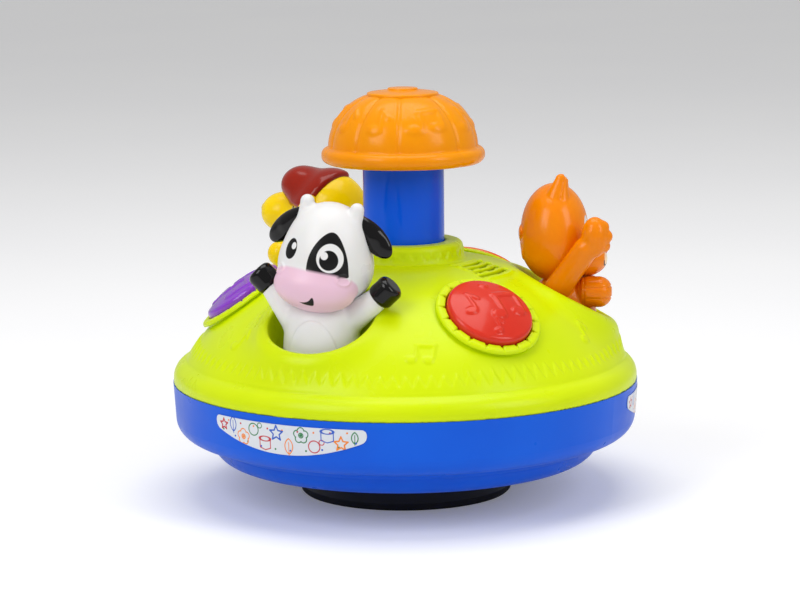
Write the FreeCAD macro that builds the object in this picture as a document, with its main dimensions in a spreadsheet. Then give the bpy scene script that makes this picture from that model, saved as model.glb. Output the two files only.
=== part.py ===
import FreeCAD, Part

import math
import os
from types import SimpleNamespace

import Sketcher
from FreeCAD import Placement, Rotation, Vector

# A push-down spinning toy. A round body, lime dome over blue shell, turns on a low stand. Three
# animals stand in cups in the dome, with three round buttons between them. Pressing the orange
# cap slides a keyed post down, and a nut in the post turns a spiral screw that drives the body.
# Units are millimetres and degrees. Z is up, the origin is on the floor under the axis, and the
# first animal faces -Y. Angles round the body are counted from -Y towards +X.

DIMENSIONS = {
    # dome, from the seam with the shell up to the collar
    "RimRadius": 112.0,
    "SeamHeight": 55.0,
    "BandHeight": 10.4,
    "BandInset": 6.7,
    "BandUpright": 3.0,
    "BandRound": 8.0,
    "DomeArc": 98.65,
    "DomeWall": 2.5,
    "CollarRadius": 28.4,
    "CollarFoot": 113.5,
    "CollarTop": 122.0,
    "CollarRound": 3.0,
    "GuideSeatRadius": 29.0,
    "GuideSeatDrop": 2.6,
    # blue lower shell
    "ShellLip": 0.3,
    "ShellBelly": 111.2,
    "ShellBellyHeight": 37.0,
    "ShellTurnRadius": 103.5,
    "ShellTurnHeight": 29.0,
    "ShellTurnRound": 9.5,
    "ShellValley": 96.5,
    "ShellValleyHeight": 27.2,
    "ShellBulge": 94.0,
    "ShellBulgeHeight": 25.0,
    "ShellBulgeRound": 11.0,
    "ShellFloorRadius": 87.0,
    "ShellFloor": 17.0,
    "ShellWall": 2.5,
    "SpigotDepth": 6.0,
    "SpigotRise": 2.0,
    "SpigotThickness": 2.2,
    "SpigotGap": 0.4,
    # animal cups
    "CupRing": 76.5,
    "CupMouth": 25.5,
    "CupMouthHeight": 95.5,
    "CupTilt": 28.0,
    "CupLip": 4.6,
    "CupLipDepth": 13.0,
    "CupLipRound": 2.1,
    "CupFloorRadius": 21.0,
    "CupFloor": 67.0,
    "CupWall": 2.2,
    # buttons and their seats
    "ButtonRing": 77.0,
    "ButtonRadius": 20.5,
    "ButtonGap": 0.4,
    "ButtonEdge": 1.6,
    "ButtonCrown": 4.2,
    "ButtonWall": 1.8,
    "ButtonSkirt": 7.0,
    "ButtonTravel": 2.0,
    "ButtonStem": 3.0,
    "BezelWidth": 4.4,
    "BezelHeight": 1.8,
    "BezelRound": 1.2,
    "BezelNotches": 18,
    "NotchWidth": 1.5,
    "NotchLength": 2.6,
    "NotchDepth": 0.8,
    "SleeveDepth": 12.0,
    "SleeveWall": 1.8,
    "SwitchBoardThickness": 1.6,
    "SwitchSize": 6.0,
    "SwitchHeight": 4.0,
    "LedRadius": 2.5,
    "LedHeight": 5.0,
    "LedOffset": 9.5,
    # screws that join the dome and the shell
    "ShellScrews": 6,
    "ShellScrewRing": 80.0,
    "ShellBossRadius": 4.4,
    "ShellBossJoint": 38.0,
    "ScrewRadius": 1.5,
    "ScrewHead": 3.0,
    "ScrewHeadHeight": 2.0,
    "ScrewGap": 0.1,
    "ScrewSeat": 30.0,
    "ScrewLength": 18.0,
    # post and cap
    "PostRadius": 19.5,
    "PostWall": 2.2,
    "PostBottom": 84.0,
    "PostTop": 187.2,
    "SlideGap": 0.35,
    "PressTravel": 28.0,
    "KeyWidth": 5.0,
    "KeyHeight": 1.8,
    "CapRimRadius": 39.3,
    "CapRimBottom": 159.4,
    "CapRimTop": 167.0,
    "CapRimRound": 3.9,
    "CapNeckRadius": 36.1,
    "CapArc": 27.0,
    "CapTopRadius": 17.4,
    "CapTop": 189.8,
    "CapWall": 2.6,
    "CapLobes": 10,
    "CapGroove": 2.0,
    "CapGrooveDepth": 1.1,
    "CapSocketWall": 2.0,
    "CapSocketDepth": 9.0,
    "CrownRadius": 16.7,
    "CrownHeight": 2.4,
    "CrownRound": 1.5,
    "ButtonTopRadius": 8.7,
    "ButtonTopHeight": 3.1,
    "CapScrewRing": 12.0,
    # guide tube inside the dome
    "GuideWall": 3.6,
    "GuideFlange": 28.0,
    "GuideFlangeHeight": 2.5,
    # drive screw, nut, clutch and return spring
    "ScrewRod": 6.0,
    "ScrewCore": 4.2,
    "ScrewLead": 42.0,
    "ScrewGrooveWidth": 6.5,
    "ScrewTop": 98.0,
    "JournalGap": 0.08,
    "NutHeight": 6.0,
    "NutGap": 0.4,
    "LugRadius": 1.3,
    "LugReach": 0.35,
    "BearingPlate": 40.0,
    "BearingPlateHeight": 3.0,
    "ClipRadius": 8.5,
    "ClipHeight": 1.2,
    "ClipGap": 0.3,
    "DogRadius": 11.0,
    "DogHeight": 4.6,
    "ToothHeight": 2.0,
    "ToothCount": 12,
    "ToothWidth": 1.8,
    "ClutchGap": 1.0,
    "PilotRadius": 3.5,
    "PilotGap": 0.08,
    "SpringRadius": 11.5,
    "SpringWire": 0.8,
    "SpringTurns": 6,
    # stand
    "StandRadius": 51.0,
    "StandTop": 14.0,
    "StandWall": 2.6,
    "StandBottom": 1.2,
    "StandDraft": 2.0,
    "StandRibs": 6,
    "FootHeight": 3.4,
    "FootWidth": 6.0,
    "BossRadius": 14.0,
    "BossTop": 25.0,
    "HubWall": 4.0,
    "HubGap": 0.08,
    "HubTopGap": 0.4,
    "TowerRadius": 21.4,
    "TowerWall": 2.8,
    "WasherOuter": 22.0,
    "WasherHeight": 1.2,
    "WasherGap": 0.3,
    "RetainerRadius": 17.6,
    "RetainerHeight": 2.0,
    "ClutchRadius": 12.0,
    "ClutchHeight": 5.0,
    "StandScrewRing": 8.8,
    # battery bay and electronics
    "BayRing": 63.5,
    "BayLength": 47.6,
    "BayWidth": 25.0,
    "BayHeight": 13.0,
    "BayWall": 2.0,
    "BayBlock": 9.0,
    "DoorThickness": 2.0,
    "DoorGap": 0.4,
    "CellRadius": 5.2,
    "CellLength": 44.5,
    "CellPitch": 11.6,
    "ContactThickness": 0.8,
    "BoardRing": 63.0,
    "BoardLength": 62.0,
    "BoardWidth": 30.0,
    "BoardThickness": 1.6,
    "BoardHeight": 28.0,
    "StandoffRadius": 3.0,
    "KnobRing": 72.0,
    "KnobLength": 5.0,
    "KnobWidth": 4.0,
    "KnobTravel": 5.0,
    "KnobGap": 0.4,
    "SwitchBodyLength": 18.0,
    "SwitchBodyWidth": 8.0,
    "SpeakerRing": 44.0,
    "SpeakerRadius": 12.5,
    "SpeakerHeight": 6.0,
    "SpeakerSeat": 2.0,
    "SlotWidth": 1.8,
    "SlotPitch": 4.2,
    "SlotCount": 4,
    "SlotArc": 26.0,
    # labels on the shell
    "LabelHalfWidth": 50.0,
    "LabelTop": 51.7,
    "LabelEnd": 44.0,
    "LabelBottom": 38.0,
    "LabelThickness": 0.35,
    # animals
    "TorsoRadius": 18.3,
    "TorsoHip": 16.5,
    "TorsoBelly": 9.0,
    "TorsoHeight": 42.0,
    "NeckRadius": 8.5,
    "NeckStub": 11.0,
    "TorsoWall": 2.4,
    "FigureScrewLength": 12.0,
    "HeadHeight": 124.0,
    "NeckReach": 3.5,
    "HeadWall": 2.4,
    "ArmRadius": 5.2,
    "ShoulderRise": 26.0,
    "ShoulderSpread": 11.0,
    # cow
    "HeadRadius": 20.8,
    "HeadSide": 1.7,
    "MuzzleSide": 7.7,
    "MuzzleRadius": 11.6,
    "MuzzleForward": 9.5,
    "MuzzleDrop": 12.5,
    "HornSpread": 11.0,
    "HornRadius": 3.8,
    "HornTip": 2.2,
    "HornLength": 9.5,
    "HornRise": 16.9,
    "EarSpread": 25.5,
    "EarLift": 7.6,
    "EarRadius": 5.4,
    "EarLength": 12.0,
    "ArmSpread": 30.0,
    "LeftArmRise": 46.5,
    "RightArmRise": 44.6,
    "HoofRadius": 7.2,
    "HoofLength": 13.0,
    "HoofEdge": 2.6,
    "HoofCover": 5.0,
    # cat
    "CatHeadRadius": 20.0,
    "CatHeadSide": 0.8,
    "CatMuzzleSide": 3.2,
    "CatMuzzleRadius": 8.3,
    "CatMuzzleForward": 13.0,
    "CatMuzzleDrop": 11.8,
    "CatEarSpread": 10.5,
    "CatEarRadius": 7.0,
    "CatEarTip": 2.0,
    "CatEarLength": 14.2,
    "CatEarRise": 12.2,
    "ElbowSpread": 22.0,
    "ElbowForward": 3.0,
    "ElbowRise": 40.0,
    "PawSpread": 23.5,
    "PawForward": 16.0,
    "PawRise": 57.0,
    "PawRadius": 7.4,
    "FistSpread": 5.0,
    "FistForward": 14.0,
    "FistRise": 28.0,
    "FistSide": 1.0,
    # pony
    "PonyHeadRadius": 18.8,
    "PonyHeadSide": 2.8,
    "SnoutStart": 8.0,
    "SnoutLength": 16.0,
    "SnoutRadius": 12.4,
    "SnoutTip": 9.0,
    "SnoutRise": 1.0,
    "PonyMuzzleSide": 1.9,
    "PonyMuzzleRadius": 9.3,
    "PonyArmForward": 9.0,
    "PonyArmSpread": 27.0,
    "PonyArmRise": 41.0,
    "PonyEarSpread": 20.5,
    "PonyEarLift": 4.0,
    "PonyEarRadius": 4.6,
    "PonyEarLength": 9.2,
    "ForelockForward": 13.5,
    "ForelockRise": 16.5,
    "ForelockRadius": 9.0,
    "ManeBack": 2.0,
    "ManeRise": 19.5,
    "ManeRadius": 6.4,
    "ManeSide": 7.6,
}

FIGURE_ANGLES = {"cow": 0.0, "cat": 120.0, "pony": 240.0}
BUTTON_ANGLES = {"red": 60.0, "orange": 180.0, "purple": 300.0}
BAY_ANGLE = 60.0
BOARD_ANGLE = 180.0
SPEAKER_ANGLE = 90.0
FIRST_SCREW_ANGLE = 30.0
FIGURE_TURN = 14.0
COW_LEAN = 10.4
HORN_LEAN = 14.0
CAT_EAR_LEAN = 18.0
EAR_DROOP = 42.0
ALONG_X = Vector(1, 0, 0)
ALONG_Y = Vector(0, 1, 0)
ALONG_Z = Vector(0, 0, 1)
REACH = 2.0  # how far a cutting tool runs past the face that it starts from
LEFT = "left"
RIGHT = "right"

doc = FreeCAD.newDocument("spinner_toy")
sheet = doc.addObject("Spreadsheet::Sheet", "Sizes")
for row, (alias, value) in enumerate(DIMENSIONS.items(), start=1):
    sheet.set(f"A{row}", alias)
    sheet.set(f"B{row}", str(value))
    sheet.setAlias(f"B{row}", alias)
doc.recompute()


def formula_of(amount):
    return amount.formula if isinstance(amount, Size) else repr(float(amount))


class Size(float):
    """A length that keeps the sheet formula it comes from, so that it can be bound."""

    def __new__(cls, value, formula):
        size = super().__new__(cls, value)
        size.formula = formula
        return size

    def __add__(self, other):
        return Size(float(self) + float(other), f"({self.formula} + {formula_of(other)})")

    def __radd__(self, other):
        return Size(float(other) + float(self), f"({formula_of(other)} + {self.formula})")

    def __sub__(self, other):
        return Size(float(self) - float(other), f"({self.formula} - {formula_of(other)})")

    def __rsub__(self, other):
        return Size(float(other) - float(self), f"({formula_of(other)} - {self.formula})")

    def __mul__(self, other):
        return Size(float(self) * float(other), f"({self.formula} * {formula_of(other)})")

    def __rmul__(self, other):
        return Size(float(other) * float(self), f"({formula_of(other)} * {self.formula})")

    def __truediv__(self, other):
        return Size(float(self) / float(other), f"({self.formula} / {formula_of(other)})")

    def __neg__(self):
        return Size(-float(self), f"(-1 * {self.formula})")


def from_sheet(alias):
    return Size(float(sheet.get(alias)), f"Sizes.{alias}")


d = SimpleNamespace(**{alias: from_sheet(alias) for alias in DIMENSIONS})
nodes = {}


# ---- helpers: binding, placing, sketches, primitives and booleans ----

def bind(target, name, amount):
    """Tie a property to the sheet where its amount comes from there, or else set it."""
    if isinstance(amount, Size):
        target.setExpression(name, amount.formula)
    else:
        setattr(target, name, amount)


def at(x=0.0, y=0.0, z=0.0, axis=ALONG_Z, angle=0.0):
    return Placement(Vector(float(x), float(y), float(z)), Rotation(axis, float(angle)))


def around(angle, ring=0.0, height=0.0):
    """A frame on a ring about the axis: its -Y points outwards and its X runs round the body."""
    turn = math.radians(angle)
    spot = Vector(ring * math.sin(turn), -ring * math.cos(turn), height)
    return Placement(spot, Rotation(ALONG_Z, angle))


def keep(label, shape_object):
    """Name an object as a finished sub-part."""
    shape_object.Label = label
    nodes[label] = shape_object
    return shape_object


def datum(body, role):
    return next(item for item in body.Origin.OriginFeatures if item.Role == role)


def add_edge(sketch, corner, following):
    """Add the line or arc that leaves a corner, and say which of its ends is which."""
    start = Vector(float(corner[0]), float(corner[1]), 0)
    end = Vector(float(following[0]), float(following[1]), 0)
    if len(corner) == 2:
        return sketch.addGeometry(Part.LineSegment(start, end)), 1, 2
    turn, radius = corner[2], float(corner[3])
    chord = end - start
    middle = (start + end) * 0.5
    leftwards = Vector(-chord.y, chord.x, 0).normalize()
    offset = math.sqrt(max(radius ** 2 - (chord.Length / 2) ** 2, 0.0))
    centre = middle + leftwards * (offset if turn == LEFT else -offset)
    first, last = (start, end) if turn == LEFT else (end, start)
    first_angle = math.atan2(first.y - centre.y, first.x - centre.x)
    last_angle = math.atan2(last.y - centre.y, last.x - centre.x)
    if last_angle < first_angle:
        last_angle += 2 * math.pi
    circle = Part.Circle(centre, ALONG_Z, radius)
    number = sketch.addGeometry(Part.ArcOfCircle(circle, first_angle, last_angle))
    sketch.addConstraint(Sketcher.Constraint("Radius", number, radius))
    if isinstance(corner[3], Size):
        sketch.setExpression(f"Constraints[{sketch.ConstraintCount - 1}]", corner[3].formula)
    return (number, 1, 2) if turn == LEFT else (number, 2, 1)


def fix_ordinate(sketch, kind, number, end, amount):
    """Hold a corner at its distance from the sketch's origin, along X or along Y."""
    if abs(float(amount)) < 1e-9:
        axis = -2 if kind == "DistanceX" else -1
        sketch.addConstraint(Sketcher.Constraint("PointOnObject", number, end, axis))
        return
    sketch.addConstraint(Sketcher.Constraint(kind, -1, 1, number, end, float(amount)))
    if isinstance(amount, Size):
        sketch.setExpression(f"Constraints[{sketch.ConstraintCount - 1}]", amount.formula)


def draw_outline(sketch, corners):
    """Draw one closed outline: (x, y) starts a line, (x, y, LEFT or RIGHT, radius) an arc."""
    count = len(corners)
    edges = [add_edge(sketch, corners[i], corners[(i + 1) % count]) for i in range(count)]
    for index, corner in enumerate(corners):
        number, start, _ = edges[index]
        before, _, before_end = edges[index - 1]
        sketch.addConstraint(Sketcher.Constraint("Coincident", before, before_end, number, start))
        fix_ordinate(sketch, "DistanceX", number, start, corner[0])
        fix_ordinate(sketch, "DistanceY", number, start, corner[1])


def new_body(name):
    return doc.addObject("PartDesign::Body", name)


def new_sketch(body, role, outlines, height=None):
    """A sketch on one of the body's origin planes, raised by a height where one is given."""
    sketch = body.newObject("Sketcher::SketchObject", f"{body.Name}_sketch")
    sketch.AttachmentSupport = [(datum(body, role), "")]
    sketch.MapMode = "FlatFace"
    if height is not None:
        bind(sketch, "AttachmentOffset.Base.z", height)
    for corners in outlines:
        draw_outline(sketch, corners)
    return sketch


def turned(name, *outlines, angle=360.0, halves=False):
    """A body of revolution about Z. Its outlines are drawn as (radius, height)."""
    body = new_body(name)
    sketch = new_sketch(body, "XZ_Plane", outlines)
    turn = body.newObject("PartDesign::Revolution", f"{name}_turn")
    turn.Profile = sketch
    turn.ReferenceAxis = (sketch, ["V_Axis"])
    bind(turn, "Angle", angle)
    turn.Midplane = halves
    return body


def padded(name, role, corners, length, height=None):
    """A body made by extruding an outline."""
    body = new_body(name)
    pad = body.newObject("PartDesign::Pad", f"{name}_pad")
    pad.Profile = new_sketch(body, role, [corners], height)
    bind(pad, "Length", length)
    return body


def pocket_ring(body, corners, height, depth, count):
    """Cut a ring of pockets down from a height. Returns once the body ends in the pattern."""
    pocket = body.newObject("PartDesign::Pocket", f"{body.Name}_pocket")
    pocket.Profile = new_sketch(body, "XY_Plane", [corners], height)
    bind(pocket, "Length", depth)
    ring = body.newObject("PartDesign::PolarPattern", f"{body.Name}_ring")
    ring.Originals = [pocket]
    ring.Axis = (datum(body, "Z_Axis"), [""])
    ring.Angle = 360.0
    bind(ring, "Occurrences", count)
    body.Tip = ring
    return body


def primitive(kind, name, place, **amounts):
    item = doc.addObject(f"Part::{kind}", name)
    for key, amount in amounts.items():
        bind(item, key, amount)
    item.Placement = place
    return item


def cylinder(name, radius, height, place=at()):
    return primitive("Cylinder", name, place, Radius=radius, Height=height)


def cone(name, low, high, height, place=at()):
    return primitive("Cone", name, place, Radius1=low, Radius2=high, Height=height)


def block(name, length, width, height, place=at()):
    """A box centred on its frame in X and Y and standing on it."""
    centred = place * at(-length / 2, -width / 2, 0)
    return primitive("Box", name, centred, Length=length, Width=width, Height=height)


def egg(name, radius, half_length, place=at()):
    """A rounded solid of revolution about its frame's Z, close to an ellipsoid: two end arcs
    joined smoothly to a side arc."""
    end = radius * radius / half_length
    side = half_length * (half_length + radius) / (radius * 2.0)
    reach = side / (side - end)
    join_out = (radius - side) * (1.0 - reach)
    join_up = (half_length - end) * reach
    solid = turned(
        name,
        [
            (0.0, -half_length, LEFT, end),
            (join_out, -join_up, LEFT, side),
            (join_out, join_up, LEFT, end),
            (0.0, half_length),
        ],
    )
    solid.Placement = place
    return solid


def pill(name, radius, side, place=at()):
    """A ball drawn out along its frame's Z by a straight side, given as half its length."""
    solid = turned(
        name,
        [
            (0.0, -radius - side, LEFT, radius),
            (radius, -side),
            (radius, side, LEFT, radius),
            (0.0, radius + side),
        ],
    )
    solid.Placement = place
    return solid


def capsule(name, start, end, radius):
    """A rod with round ends between two points, and the three solids it is made of."""
    way = end - start
    place = Placement(start, Rotation(ALONG_Z, way))
    rod = primitive("Cylinder", f"{name}_rod", place, Radius=radius, Height=way.Length)
    first = primitive("Sphere", f"{name}_start", at(*start), Radius=radius)
    last = primitive("Sphere", f"{name}_end", at(*end), Radius=radius)
    return [rod, first, last]


def fuse(name, *items):
    joined = doc.addObject("Part::MultiFuse", name)
    joined.Shapes = list(items)
    joined.Refine = True
    return joined


def common(name, first, second):
    shared = doc.addObject("Part::MultiCommon", name)
    shared.Shapes = [first, second]
    return shared


def cut(name, base, tool):
    rest = doc.addObject("Part::Cut", name)
    rest.Base = base
    rest.Tool = tool
    rest.Refine = True
    return rest


def group(name, *items):
    """Separate solids kept together as one sub-part."""
    together = doc.addObject("Part::Compound", name)
    together.Links = list(items)
    return together


# ---- the dome's form, shared by everything that sits in it ----

crease = (d.RimRadius - d.BandInset, d.SeamHeight + d.BandHeight)


def arc_centre(first, second, radius):
    """Centre of the circle through two profile points, on the side of the axis."""
    middle = ((first[0] + second[0]) / 2, (first[1] + second[1]) / 2)
    run, rise = second[0] - first[0], second[1] - first[1]
    chord = math.hypot(run, rise)
    offset = math.sqrt(radius ** 2 - (chord / 2) ** 2)
    return float(middle[0] - rise / chord * offset), float(middle[1] + run / chord * offset)


dome_centre = arc_centre(crease, (d.CollarRadius, d.CollarFoot), d.DomeArc)


def dome_height(radius, inset=0.0):
    """Height of the dome's surface, or of one that lies deeper by the inset."""
    reach = float(d.DomeArc) - float(inset)
    return dome_centre[1] + math.sqrt(reach ** 2 - (float(radius) - dome_centre[0]) ** 2)


def dome_tilt(radius):
    """Lean of the dome's surface outwards, in degrees."""
    return math.degrees(math.asin((float(radius) - dome_centre[0]) / float(d.DomeArc)))


def on_dome(angle, ring, inset=0.0):
    """A frame on the dome with Z along its normal, sunk by the inset."""
    lean = at(axis=ALONG_X, angle=dome_tilt(ring))
    return around(angle, ring, dome_height(ring)) * lean * at(z=-inset)


cup_frames = {
    name: around(angle, d.CupRing, d.CupMouthHeight) * at(axis=ALONG_X, angle=d.CupTilt)
    for name, angle in FIGURE_ANGLES.items()
}
button_frames = {name: on_dome(angle, d.ButtonRing) for name, angle in BUTTON_ANGLES.items()}
shell_screw_angles = [
    FIRST_SCREW_ANGLE + 360.0 * number / int(d.ShellScrews) for number in range(int(d.ShellScrews))
]
post_hole = d.PostRadius + d.SlideGap
guide_seat = d.CollarFoot - d.GuideSeatDrop


# ---- upper dome ----

def dome_outer():
    """Outer profile from the seam to the post hole's top edge."""
    return [
        (d.RimRadius, d.SeamHeight),
        (d.RimRadius, d.SeamHeight + d.BandUpright, LEFT, d.BandRound),
        (*crease, LEFT, d.DomeArc),
        (d.CollarRadius, d.CollarFoot),
        (d.CollarRadius, d.CollarTop - d.CollarRound, LEFT, d.CollarRound),
        (d.CollarRadius - d.CollarRound, d.CollarTop),
    ]


def dome_skin():
    inner_arc = d.DomeArc - d.DomeWall
    crease_inside = d.RimRadius - d.BandInset - d.DomeWall
    seat_edge = (d.GuideSeatRadius, guide_seat, RIGHT, inner_arc)
    crease_lower = dome_height(crease_inside, d.DomeWall)
    return turned(
        "dome_skin",
        [
            *dome_outer(),
            (post_hole, d.CollarTop),
            (post_hole, guide_seat),
            seat_edge,
            (crease_inside, crease_lower),
            (d.RimRadius - d.DomeWall, d.SeamHeight + d.BandUpright),
            (d.RimRadius - d.DomeWall, d.SeamHeight),
        ],
    )


def dome_envelope():
    """The dome's outside as a solid, used to trim what grows inside it."""
    return turned("dome_envelope", [*dome_outer(), (0.0, d.CollarTop), (0.0, d.SeamHeight)])


def cup_solid(name, wall, frame, angle):
    """The cup's outside, or its inside when the wall is nothing: a tilted round mouth lofted
    down to a level round floor."""
    mouth = primitive("Circle", f"{name}_mouth", frame, Radius=d.CupMouth + wall)
    floor_place = around(angle, d.CupRing, d.CupFloor - wall)
    floor = primitive("Circle", f"{name}_floor", floor_place, Radius=d.CupFloorRadius + wall)
    loft = doc.addObject("Part::Loft", name)
    loft.Sections = [mouth, floor]
    loft.Solid = True
    loft.Ruled = True
    return loft


def cup_lip(name, frame):
    """Raised round lip of a cup, drawn in the tilted frame of the mouth."""
    outer = d.CupMouth + d.CupLip
    lip = turned(
        name,
        [
            (d.CupMouth - d.CupWall / 2, -d.CupLipDepth),
            (outer, -d.CupLipDepth),
            (outer, -d.CupLipRound, LEFT, d.CupLipRound),
            (outer - d.CupLipRound, 0.0),
            (d.CupMouth - d.CupWall / 2, 0.0),
        ],
    )
    lip.Placement = frame
    return lip


def button_bezel(name, frame):
    """Raised ring round a button, with its notches, and the sleeve that guides the button."""
    bore = d.ButtonRadius + d.ButtonGap
    outer = bore + d.BezelWidth
    top = d.BezelHeight
    bezel = turned(
        name,
        [
            (bore, -d.SleeveDepth),
            (bore + d.SleeveWall, -d.SleeveDepth),
            (bore + d.SleeveWall, -d.DomeWall),
            (outer, -d.DomeWall),
            (outer, top - d.BezelRound, LEFT, d.BezelRound),
            (outer - d.BezelRound, top),
            (bore, top),
        ],
    )
    notch_end = bore + d.BezelWidth / 2 + d.NotchLength / 2
    notch_start = notch_end - d.NotchLength
    pocket_ring(
        bezel,
        [
            (notch_start, -d.NotchWidth / 2),
            (notch_end, -d.NotchWidth / 2),
            (notch_end, d.NotchWidth / 2),
            (notch_start, d.NotchWidth / 2),
        ],
        top,
        d.NotchDepth,
        d.BezelNotches,
    )
    bezel.Placement = frame
    return bezel


def speaker_slots():
    """Curved sound slots, cut through the dome beside the collar."""
    middle = (d.SlotCount - 1) / 2
    low, high = d.CollarFoot - d.SpeakerRadius, d.CollarTop
    outlines = []
    for number in range(int(d.SlotCount)):
        inner = d.SpeakerRing + (number - middle) * d.SlotPitch - d.SlotWidth / 2
        outer = inner + d.SlotWidth
        outlines.append([(inner, low), (outer, low), (outer, high), (inner, high)])
    slots = turned("speaker_slots", *outlines, angle=d.SlotArc, halves=True)
    slots.Placement = at(angle=SPEAKER_ANGLE - 90.0)
    return slots


def upper_dome():
    inner_solids, skins, voids = [], [dome_skin()], [speaker_slots()]
    dome_boss_height = d.CollarTop - d.ShellBossJoint
    for number, angle in enumerate(shell_screw_angles):
        spot = around(angle, d.ShellScrewRing, d.ShellBossJoint)
        inner_solids.append(cylinder(f"dome_boss_{number}", d.ShellBossRadius, dome_boss_height, spot))
        hole = d.ScrewLength - (d.ShellBossJoint - d.ScrewSeat) + REACH
        voids.append(cylinder(f"dome_boss_hole_{number}", d.ScrewRadius + d.ScrewGap, hole, spot))
    speaker_frame = on_dome(SPEAKER_ANGLE, d.SpeakerRing, d.DomeWall + d.SpeakerSeat)
    ring_outer = d.SpeakerRadius + d.ScrewGap + d.ButtonWall
    inner_solids.append(cylinder("speaker_ring", ring_outer, d.SpeakerSeat + d.DomeWall / 2, speaker_frame))
    ring_bore = cylinder("speaker_bore", d.SpeakerRadius + d.ScrewGap, d.SpeakerSeat, speaker_frame)
    trimmed = common("dome_inner_solids", fuse("dome_inner_fuse", *inner_solids), dome_envelope())
    skins.append(trimmed)
    voids.append(ring_bore)
    for name, angle in FIGURE_ANGLES.items():
        frame = cup_frames[name]
        skins.append(cup_lip(f"{name}_lip", frame))
        skins.append(cup_solid(f"{name}_cup", d.CupWall, frame, angle))
        voids.append(cup_solid(f"{name}_cup_void", 0.0, frame, angle))
        voids.append(cylinder(f"{name}_mouth_void", d.CupMouth, d.CupMouth, frame))
        screw_spot = around(angle, d.CupRing, d.CupFloor - d.CupWall - REACH)
        screw_bore = d.ScrewRadius + d.ScrewGap
        voids.append(cylinder(f"{name}_screw_hole", screw_bore, d.CupWall + 2 * REACH, screw_spot))
    for name, frame in button_frames.items():
        skins.append(button_bezel(f"{name}_bezel", frame))
        bore_place = frame * at(z=-d.SleeveDepth)
        bore = d.ButtonRadius + d.ButtonGap
        voids.append(cylinder(f"{name}_bore", bore, d.SleeveDepth + d.ButtonCrown, bore_place))
    solid = fuse("dome_solids", *skins)
    return keep("upper_dome", cut("upper_dome", solid, fuse("dome_voids", *voids)))


# ---- lower shell ----

bay_frame = around(BAY_ANGLE, d.BayRing, d.ShellFloor)
door_frame = bay_frame * at(x=d.BayBlock / 2)
screw_block_frame = bay_frame * at(x=(d.BayLength + d.BayBlock) / 2)

hub_bore = d.BossRadius + d.HubGap
shell_plate_top = d.ShellFloor + d.ShellWall
hub_bottom = d.StandTop + d.WasherHeight + d.WasherGap
hub_top = d.BossTop - d.HubTopGap
opening_length = d.BayLength + d.BayBlock


def shell_skin():
    spigot_outer = d.RimRadius - d.DomeWall - d.SpigotGap
    spigot_inner = spigot_outer - d.SpigotThickness
    wall = d.ShellWall
    return turned(
        "shell_skin",
        [
            (d.RimRadius + d.ShellLip, d.SeamHeight),
            (spigot_outer, d.SeamHeight),
            (spigot_outer, d.SeamHeight + d.SpigotRise),
            (spigot_inner, d.SeamHeight + d.SpigotRise),
            (spigot_inner, d.SeamHeight - d.SpigotDepth),
            (d.ShellBelly - wall, d.ShellBellyHeight, RIGHT, d.ShellTurnRound - wall),
            (d.ShellTurnRadius, d.ShellTurnHeight + wall),
            (d.ShellValley - wall / 2, d.ShellValleyHeight + wall),
            (d.ShellBulge - wall, d.ShellBulgeHeight),
            (d.ShellFloorRadius - wall / 2, shell_plate_top),
            (d.TowerRadius + d.TowerWall, shell_plate_top),
            (d.TowerRadius + d.TowerWall, d.BearingPlate),
            (d.TowerRadius, d.BearingPlate),
            (d.TowerRadius, shell_plate_top),
            (hub_bore + d.HubWall, shell_plate_top),
            (hub_bore + d.HubWall, hub_top),
            (hub_bore, hub_top),
            (hub_bore, hub_bottom),
            (d.WasherOuter, hub_bottom),
            (d.WasherOuter, d.ShellFloor),
            (d.ShellFloorRadius, d.ShellFloor, LEFT, d.ShellBulgeRound),
            (d.ShellBulge, d.ShellBulgeHeight),
            (d.ShellValley, d.ShellValleyHeight),
            (d.ShellTurnRadius, d.ShellTurnHeight, LEFT, d.ShellTurnRound),
            (d.ShellBelly, d.ShellBellyHeight),
        ],
    )


def lower_shell():
    solids, voids = [shell_skin()], []
    for number, angle in enumerate(shell_screw_angles):
        spot = around(angle, d.ShellScrewRing, d.ShellFloor)
        height = d.ShellBossJoint - d.ShellFloor
        solids.append(cylinder(f"shell_boss_{number}", d.ShellBossRadius, height, spot))
        voids.append(cylinder(f"shell_hole_{number}", d.ScrewRadius + d.ScrewGap, height, spot))
        recess = cylinder(
            f"shell_recess_{number}", d.ScrewHead + d.ScrewGap, d.ScrewSeat - d.ShellFloor, spot)
        voids.append(recess)
    board_frame = around(BOARD_ANGLE, d.BoardRing, d.ShellFloor)
    for side in (-1, 1):
        offset = at(x=side * (d.BoardLength / 2 - d.StandoffRadius))
        height = d.BoardHeight - d.ShellFloor
        solids.append(cylinder("board_standoff", d.StandoffRadius, height, board_frame * offset))
    voids.append(block("bay_opening", opening_length, d.BayWidth, d.ShellWall, door_frame))
    slot_length = d.KnobLength + d.KnobTravel + 2 * d.KnobGap
    slot_frame = around(BOARD_ANGLE, d.KnobRing, d.ShellFloor)
    voids.append(block("switch_slot", slot_length, d.KnobWidth + 2 * d.KnobGap, d.ShellWall, slot_frame))
    solid = fuse("shell_solids", *solids)
    return keep("lower_shell", cut("lower_shell", solid, fuse("shell_voids", *voids)))


def pan_screw(name, place, length):
    """A pan-head screw. Its frame is at the head's seat, with Z along the shank."""
    head = cylinder(f"{name}_head", d.ScrewHead, d.ScrewHeadHeight, place * at(z=-d.ScrewHeadHeight))
    shank = cylinder(f"{name}_shank", d.ScrewRadius, length, place)
    return fuse(name, head, shank)


def shell_screws():
    screws = []
    for number, angle in enumerate(shell_screw_angles):
        seat = around(angle, d.ShellScrewRing, d.ScrewSeat)
        screws.append(pan_screw(f"shell_screw_{number}", seat, d.ScrewLength))
    return keep("shell_screws", group("shell_screws", *screws))


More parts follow.
